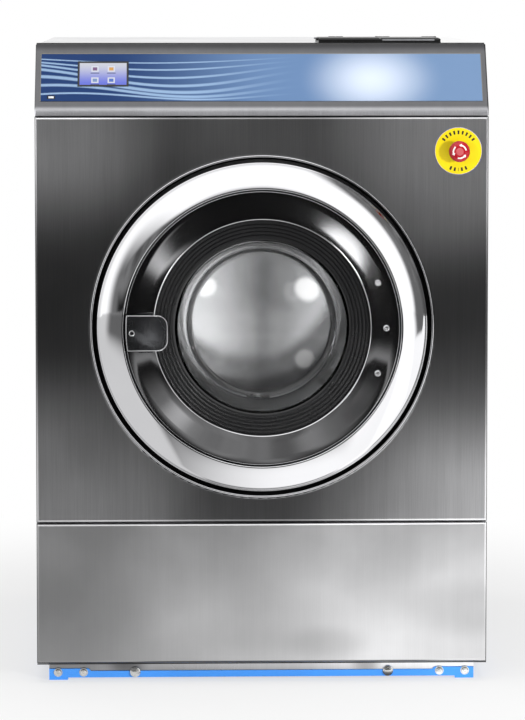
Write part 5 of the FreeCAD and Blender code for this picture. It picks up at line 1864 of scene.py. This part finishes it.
@dataclass
class UsbTongue(Piece):
    """Light tongue inside the USB socket."""

    half_width: float = 0.0050
    half_height: float = 0.0017
    below_top: float = 0.0033
    inset: float = 0.0016
    length: float = 0.0040
    edge: float = 0.0002

    def build(self) -> List[str]:
        """Model the tongue.

        Returns:
            Names of the new pieces.
        """
        low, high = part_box("usb_socket")
        x, y, z = (low.x + high.x) / 2, low.y + self.inset, high.z - self.below_top
        front = (x - self.half_width, y, z - self.half_height)
        back = (x + self.half_width, y + self.length, z + self.half_height)
        piece = settle(boxed("usb_tongue", front, back, self.edge))
        return [self.dress(piece, Palette.usb_tongue, Body.CABINET, Slot.VALVE)]


@dataclass
class SealAndShadeStrip(Piece):
    """Dark seal behind the console's top edge, and painted shade under the lower panel: a dark strip that
    stands in for the shade line at the panel's foot.
    """

    half_length: float = HALF_WIDTH - 0.0005
    width: float = 0.0032
    top_height: Point = (-0.004, 0.0016)
    top_edge: float = 0.0006
    foot_drop: float = 0.0020
    foot_inset: float = 0.0004
    foot_edge: float = 0.0003

    def build(self) -> List[str]:
        """Model the seal and the painted shade strip.

        Returns:
            Names of the new pieces.
        """
        half, low_z, high_z = self.half_length, *self.top_height
        _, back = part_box("console_housing")
        top = boxed("console_top_seal", (-half, back.y - self.width / 2, back.z + low_z),
                    (half, back.y + self.width / 2, back.z + high_z), self.top_edge)
        # The foot strip is painted shade: a dark strip where the panel's foot only lies in shade.
        front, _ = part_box("lower_panel")
        foot = boxed("panel_foot_shade_strip", (-half, front.y + self.foot_inset, front.z - self.foot_drop),
                     (half, front.y + self.width, front.z), self.foot_edge)
        finish = Palette.gap_rubber
        return [self.dress(settle(piece), finish, Body.CABINET, Slot.RUBBER) for piece in (top, foot)]


@dataclass(frozen=True)
class Lamp:
    """Square lamp that hangs at a place and points at a target."""

    name: str
    place: Place
    target: Place
    size: float
    power: float

    def build(self) -> None:
        """Add the lamp, which reflections don't see."""
        start_fresh()
        aim = (Vector(self.target) - Vector(self.place)).to_track_quat("-Z", "Y").to_euler()
        bpy.ops.object.light_add(type="AREA", location=self.place, rotation=aim)
        lamp = bpy.context.object
        lamp.name = self.name
        lamp.data.shape = "RECTANGLE"
        lamp.data.size = lamp.data.size_y = self.size
        lamp.data.energy = self.power
        lamp.visible_glossy = False


@dataclass(frozen=True)
class Card:
    """Upright white card that only reflections in the dish and the bowl see."""

    name: str
    place: Place
    width: float
    height: float
    strength: float
    half_thickness: float = 0.001
    fade: Step = (1.0, 0.2)
    dish_edge: Step = (0.2580, 0.2570)

    def build(self) -> None:
        """Add the card."""
        half = Vector((self.width / 2, self.half_thickness, self.height / 2))
        card = boxed(self.name, Vector(self.place) - half, Vector(self.place) + half)
        material, graph = new_material(self.name)
        here = graph.place()
        across, upward = graph.math("DIVIDE", here["x"], half.x), graph.math("DIVIDE", here["z"], half.z)
        off = graph.away(across, upward, (self.place[0] / half.x, self.place[2] / half.z))
        fade = graph.times(graph.ramp(graph.times(off, off), *self.fade), self.seen_from_dish(graph))
        glow = graph.add("ShaderNodeEmission", {"Strength": graph.times(fade, self.strength)})
        clear = graph.add("ShaderNodeBsdfTransparent")
        graph.surface(fade, clear.outputs[0], glow.outputs[0])
        card.data.materials.append(material)
        card.visible_camera = card.visible_diffuse = card.visible_shadow = card.visible_transmission = False

    def seen_from_dish(self, graph: Graph) -> Socket:
        """Mask of the rays that come from the dish and what lies inside it.

        Args:
            graph: graph of the material.

        Returns:
            1 for rays from the dish, 0 for rays from the steel round it.
        """
        hit = graph.add("ShaderNodeNewGeometry").outputs
        length = graph.add("ShaderNodeLightPath").outputs["Ray Length"]
        back = graph.add("ShaderNodeVectorMath", {0: hit["Incoming"], "Scale": length}, operation="SCALE")
        start = graph.add("ShaderNodeVectorMath", {0: hit["Position"], 1: back.outputs[0]}, operation="ADD")
        x, _, z = graph.split(start.outputs[0])
        return graph.ramp(graph.away(x, z, (0.0, AXIS_Z)), *self.dish_edge)


@dataclass
class Studio(Piece):
    """Floor, light, surroundings and camera.

    A step names where a tone starts to change, where it ends, and its values there.
    """

    eye: Place = (-0.1588, -6.5665, 1.3298)
    lens: float = 161.53
    sensor: float = 36.0
    yaw: float = 1.497
    pitch: float = 4.0
    shift: float = -0.2061
    far_clip: float = 100.0
    ambient: float = 0.5
    floor_size: float = 40.0
    floor_roughness: float = 0.8
    floor_cloud: float = 0.4
    floor_tone: Step = (0.3, 0.7, 0.84, 0.88)
    floor_light: Step = (0.6, 1.6, 0.62, 1.0)
    floor_middle: float = 0.05
    paper_reach: Step = (0.35, 1.0, -1.1, -3.2)
    paper_tone: Step = (-0.5, 0.3, 0.006, 1.55)
    paper_foot: Step = (-0.56, -0.44, 1.0, 0.08)
    paper_left: Step = (-0.65, 0.15, 0.14, 1.0)
    far_paper: Step = (-8.0, -16.0, 0.006, 0.30)
    paper_spot: Tuple[Point, float, float] = ((0.72, -3.4), 0.42, 0.9)
    right_start: Step = (0.58, 0.75)
    right_end: Step = (1.08, 1.30, 1.7, 0.2)
    left_far: Step = (-2.2, -4.5)
    left_end: Step = (-1.30, -0.98, 0.0, 0.80)
    left_start: Step = (-0.38, -0.52, 0.0, 0.95)
    bowl_floor: Step = (-5.8, -4.4, 1.0, 0.5)
    bowl_left: Step = (0.020, 0.066, 0.06, 1.9)
    bowl_right: Step = (0.010, -0.022, 0.06, 1.5)
    bowl_right_end: Step = (-0.035, -0.09, 1.0, 0.2)
    bowl_upper: Step = (0.03, 0.08)
    bowl_upper_end: Step = (0.0, 0.10, 0.8, 0.2)
    bowl_horizon: Step = (-0.05, 0.12, 1.0, 0.30)
    bowl_sides: Step = (0.6, 0.3, 0.0, 0.5)
    bowl_least_toward: float = 0.2
    cone_left: Step = (0.1, -0.4, 0.0, 0.10)
    cone_top: Step = (0.20, 0.45, 1.0, 0.0)
    cone: Step = (0.835, 0.90, 1.0, 0.0)
    room_front: Step = (-0.1, 0.3, 1.0, 1.7)
    edge_front: Step = (0.66, 0.60, 0.0, 0.88)
    edge_back: Step = (-0.5, -0.1)
    edge_right: Step = (0.30, 0.55)
    corner_left: Step = (-0.3, -0.5)
    corner_low: Step = (0.55, 0.15, 0.0, 0.86)
    corner_front: Step = (0.60, 0.72)
    ceiling_tone: Step = (-0.02, 0.10, 0.006, 0.20)
    streak_tone: Step = (0.3, 0.7, 0.45, 1.5)
    streak_size: float = 1.6
    streak_stretch: Place = (9.0, 1.0, 2.5)
    ceiling_spots: Tuple[Tuple[Point, float, float], ...] = (
        ((0.25, 0.13), 0.09, 1.1), ((-0.27, 0.10), 0.10, 0.55))
    lamps: Tuple[Lamp, ...] = (
        Lamp("flash_left", (-2.3, -4.4, 1.3), (0.0, -0.4, 0.8), 0.5, 32.0),
        Lamp("flash_right", (2.8, -4.0, 1.2), (0.1, -0.4, 0.8), 0.3, 125.0),
        Lamp("sky", (0.0, -0.4, 3.6), (0.0, 0.0, 0.6), 2.6, 50.0))
    cards: Tuple[Card, ...] = (
        Card("card_right", (-0.165, -1.80, 0.38), 0.15, 0.15, 15.0),
        Card("card_left", (0.275, -1.78, 0.37), 0.12, 0.12, 11.0),
        Card("card_low", (-0.15, -1.80, 0.69), 0.11, 0.11, 4.0),
        Card("card_foot", (0.23, -1.90, 0.69), 0.10, 0.10, 1.0),
        Card("card_streak", (-0.105, -1.85, 0.385), 0.12, 0.13, 1.8))

    def build(self) -> List[str]:
        """Set up the studio.

        Returns:
            Names of what was made.
        """
        bpy.context.scene.view_settings.view_transform = "Standard"
        self.camera()
        self.floor()
        self.world()
        for thing in self.lamps + self.cards:
            thing.build()
        return ["camera", "floor", "world"] + [thing.name for thing in self.lamps + self.cards]

    def camera(self) -> None:
        """Place the camera."""
        start_fresh()
        turn = (math.radians(90.0 - self.pitch), 0.0, -math.radians(self.yaw))
        bpy.ops.object.camera_add(location=self.eye, rotation=turn)
        camera = bpy.context.object
        camera.data.lens = self.lens
        camera.data.sensor_width = self.sensor
        camera.data.shift_y = self.shift
        camera.data.clip_end = self.far_clip
        bpy.context.scene.camera = camera

    def floor(self) -> None:
        """White floor that keeps the shadow, with tones of its own for reflections."""
        start_fresh()
        bpy.ops.mesh.primitive_plane_add(size=self.floor_size, location=(0, 0, 0))
        floor = take("floor")
        material, graph = new_material("floor_white")
        here = graph.place()
        graph.put("Roughness", self.floor_roughness)
        shade = graph.ramp(graph.noise(here["point"], self.floor_cloud, 3.0), *self.floor_tone)
        graph.put("Base Color", graph.grey(shade))
        path = graph.add("ShaderNodeLightPath").outputs
        mirror = graph.most(path["Is Glossy Ray"], path["Is Transmission Ray"])
        tone = graph.grey(self.floor_mirrored(graph, here, path["Is Transmission Ray"]))
        glow = graph.add("ShaderNodeEmission", {"Color": graph.blend(mirror, WHITE, tone), "Strength": 1.0})
        share = graph.ramp(graph.away(here["x"], here["y"], (0.0, 0.0)), *self.floor_light)
        seen = graph.most(graph.times(path["Is Camera Ray"], share), mirror)
        graph.surface(seen, material.node_tree.nodes["Principled BSDF"].outputs[0], glow.outputs[0])
        floor.data.materials.append(material)

    def floor_mirrored(self, graph: Graph, here: Dict[str, Socket], through_glass: Socket) -> Socket:
        """Tone of the floor that polished steel and the bowl mirror.

        Args:
            graph: graph of the floor's material.
            here: the floor's coordinates.
            through_glass: 1 for rays that went through the glass.

        Returns:
            The tone.
        """
        x, y = here["x"], here["y"]
        slant = graph.math("DIVIDE", x, graph.math("ABSOLUTE", y))
        sideways = graph.math("ABSOLUTE", graph.math("SUBTRACT", x, self.floor_middle))
        start = graph.math("SUBTRACT", y, graph.ramp(sideways, *self.paper_reach))
        paper = graph.steps((start, self.paper_tone), (y, self.paper_foot), (x, self.paper_left))
        right = graph.steps((slant, self.right_start), (slant, self.right_end))
        left = graph.math("SUBTRACT", 1.0, graph.steps((y, self.left_far), (slant, self.left_end)))
        left = graph.times(left, graph.ramp(slant, *self.left_start))
        bowl = graph.times(through_glass, self.bowl(graph, slant), graph.ramp(y, *self.bowl_floor))
        far = graph.ramp(y, *self.far_paper)
        return graph.most(paper, far, graph.spot(x, y, *self.paper_spot), right, left, bowl)

    def bowl(self, graph: Graph, slant: Socket) -> Socket:
        """Tone that the drum's back mirrors through the glass.

        Args:
            graph: graph of the material.
            slant: place across over the distance.

        Returns:
            The tone, dark in the middle and lighter at both sides.
        """
        right = graph.steps((slant, self.bowl_right), (slant, self.bowl_right_end))
        return graph.most(graph.ramp(slant, *self.bowl_left), right)

    def world(self) -> None:
        """White surroundings with a darker room on the viewer's side for reflections."""
        world = bpy.data.worlds.new("studio")
        bpy.context.scene.world = world
        world.use_nodes = True
        graph = Graph(world.node_tree)
        point = graph.add("ShaderNodeTexCoord").outputs["Generated"]
        across, depth, upward = graph.split(point)
        ray = {"point": point, "across": across, "toward": graph.times(depth, -1.0), "upward": upward}
        path = graph.add("ShaderNodeLightPath").outputs
        bowl = graph.times(path["Is Transmission Ray"], self.world_in_bowl(graph, ray))
        room = graph.most(self.room(graph, ray), self.ceiling(graph, ray), bowl)
        mirror = graph.most(path["Is Glossy Ray"], path["Is Transmission Ray"])
        soft = graph.blend(mirror, (self.ambient,) * 3, graph.grey(room))
        background = world.node_tree.nodes["Background"]
        graph.feed(background.inputs["Color"], graph.blend(path["Is Camera Ray"], soft, WHITE))
        background.inputs["Strength"].default_value = 1.0

    def room(self, graph: Graph, ray: Dict[str, Socket]) -> Socket:
        """Tone of the room that polished steel mirrors.

        Args:
            graph: graph of the world.
            ray: the ray's shares across, toward the viewer and upward.

        Returns:
            The tone, dark round the viewer, at the right edge and low at the left.
        """
        across, toward, upward = ray["across"], ray["toward"], ray["upward"]
        cone = graph.math("ADD", toward, graph.steps((across, self.cone_left), (upward, self.cone_top)))
        room = graph.steps((cone, self.cone), (toward, self.room_front))
        edge = graph.steps((toward, self.edge_front), (toward, self.edge_back), (across, self.edge_right))
        corner = graph.steps((across, self.corner_left), (upward, self.corner_low),
                             (toward, self.corner_front))
        return graph.times(room, graph.math("SUBTRACT", 1.0, edge), graph.math("SUBTRACT", 1.0, corner))

    def ceiling(self, graph: Graph, ray: Dict[str, Socket]) -> Socket:
        """Tone of a streaky ceiling with two lamps.

        Args:
            graph: graph of the world.
            ray: the ray's direction and its shares.

        Returns:
            The tone.
        """
        factors = {0: ray["point"], 1: self.streak_stretch}
        stretched = graph.add("ShaderNodeVectorMath", factors, operation="MULTIPLY").outputs[0]
        streaks = graph.noise(stretched, self.streak_size, 3.0)
        tone = graph.steps((ray["upward"], self.ceiling_tone), (streaks, self.streak_tone))
        spots = [graph.spot(ray["across"], ray["upward"], *spot) for spot in self.ceiling_spots]
        return graph.most(tone, *spots)

    def world_in_bowl(self, graph: Graph, ray: Dict[str, Socket]) -> Socket:
        """Tone of the surroundings that the drum's back mirrors through the glass.

        Args:
            graph: graph of the world.
            ray: the ray's shares across, toward the viewer and upward.

        Returns:
            The tone.
        """
        toward = graph.math("MAXIMUM", ray["toward"], self.bowl_least_toward)
        slant = graph.math("DIVIDE", ray["across"], toward)
        upper = graph.steps((slant, self.bowl_upper), (ray["upward"], self.bowl_upper_end))
        lit = graph.most(upper, graph.ramp(ray["upward"], *self.bowl_horizon))
        sides = graph.ramp(ray["toward"], *self.bowl_sides)
        return graph.most(graph.times(self.bowl(graph, slant), lit), sides)


def main() -> None:
    """Build the looks in order and report each piece."""
    logging.basicConfig(level=logging.INFO, format="%(message)s")
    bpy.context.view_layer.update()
    Effects.build()
    parts = (FrameFinishes, Door, Handle, PanelHole, DrumBack, SoftParts, BaseBolts, HopperTrim, StopButton,
             UsbTongue, SealAndShadeStrip, Studio)
    for part in parts:
        LOG.info("%s: %s", part.__name__, ", ".join(part().build()))


if __name__ == "__main__":
    main()
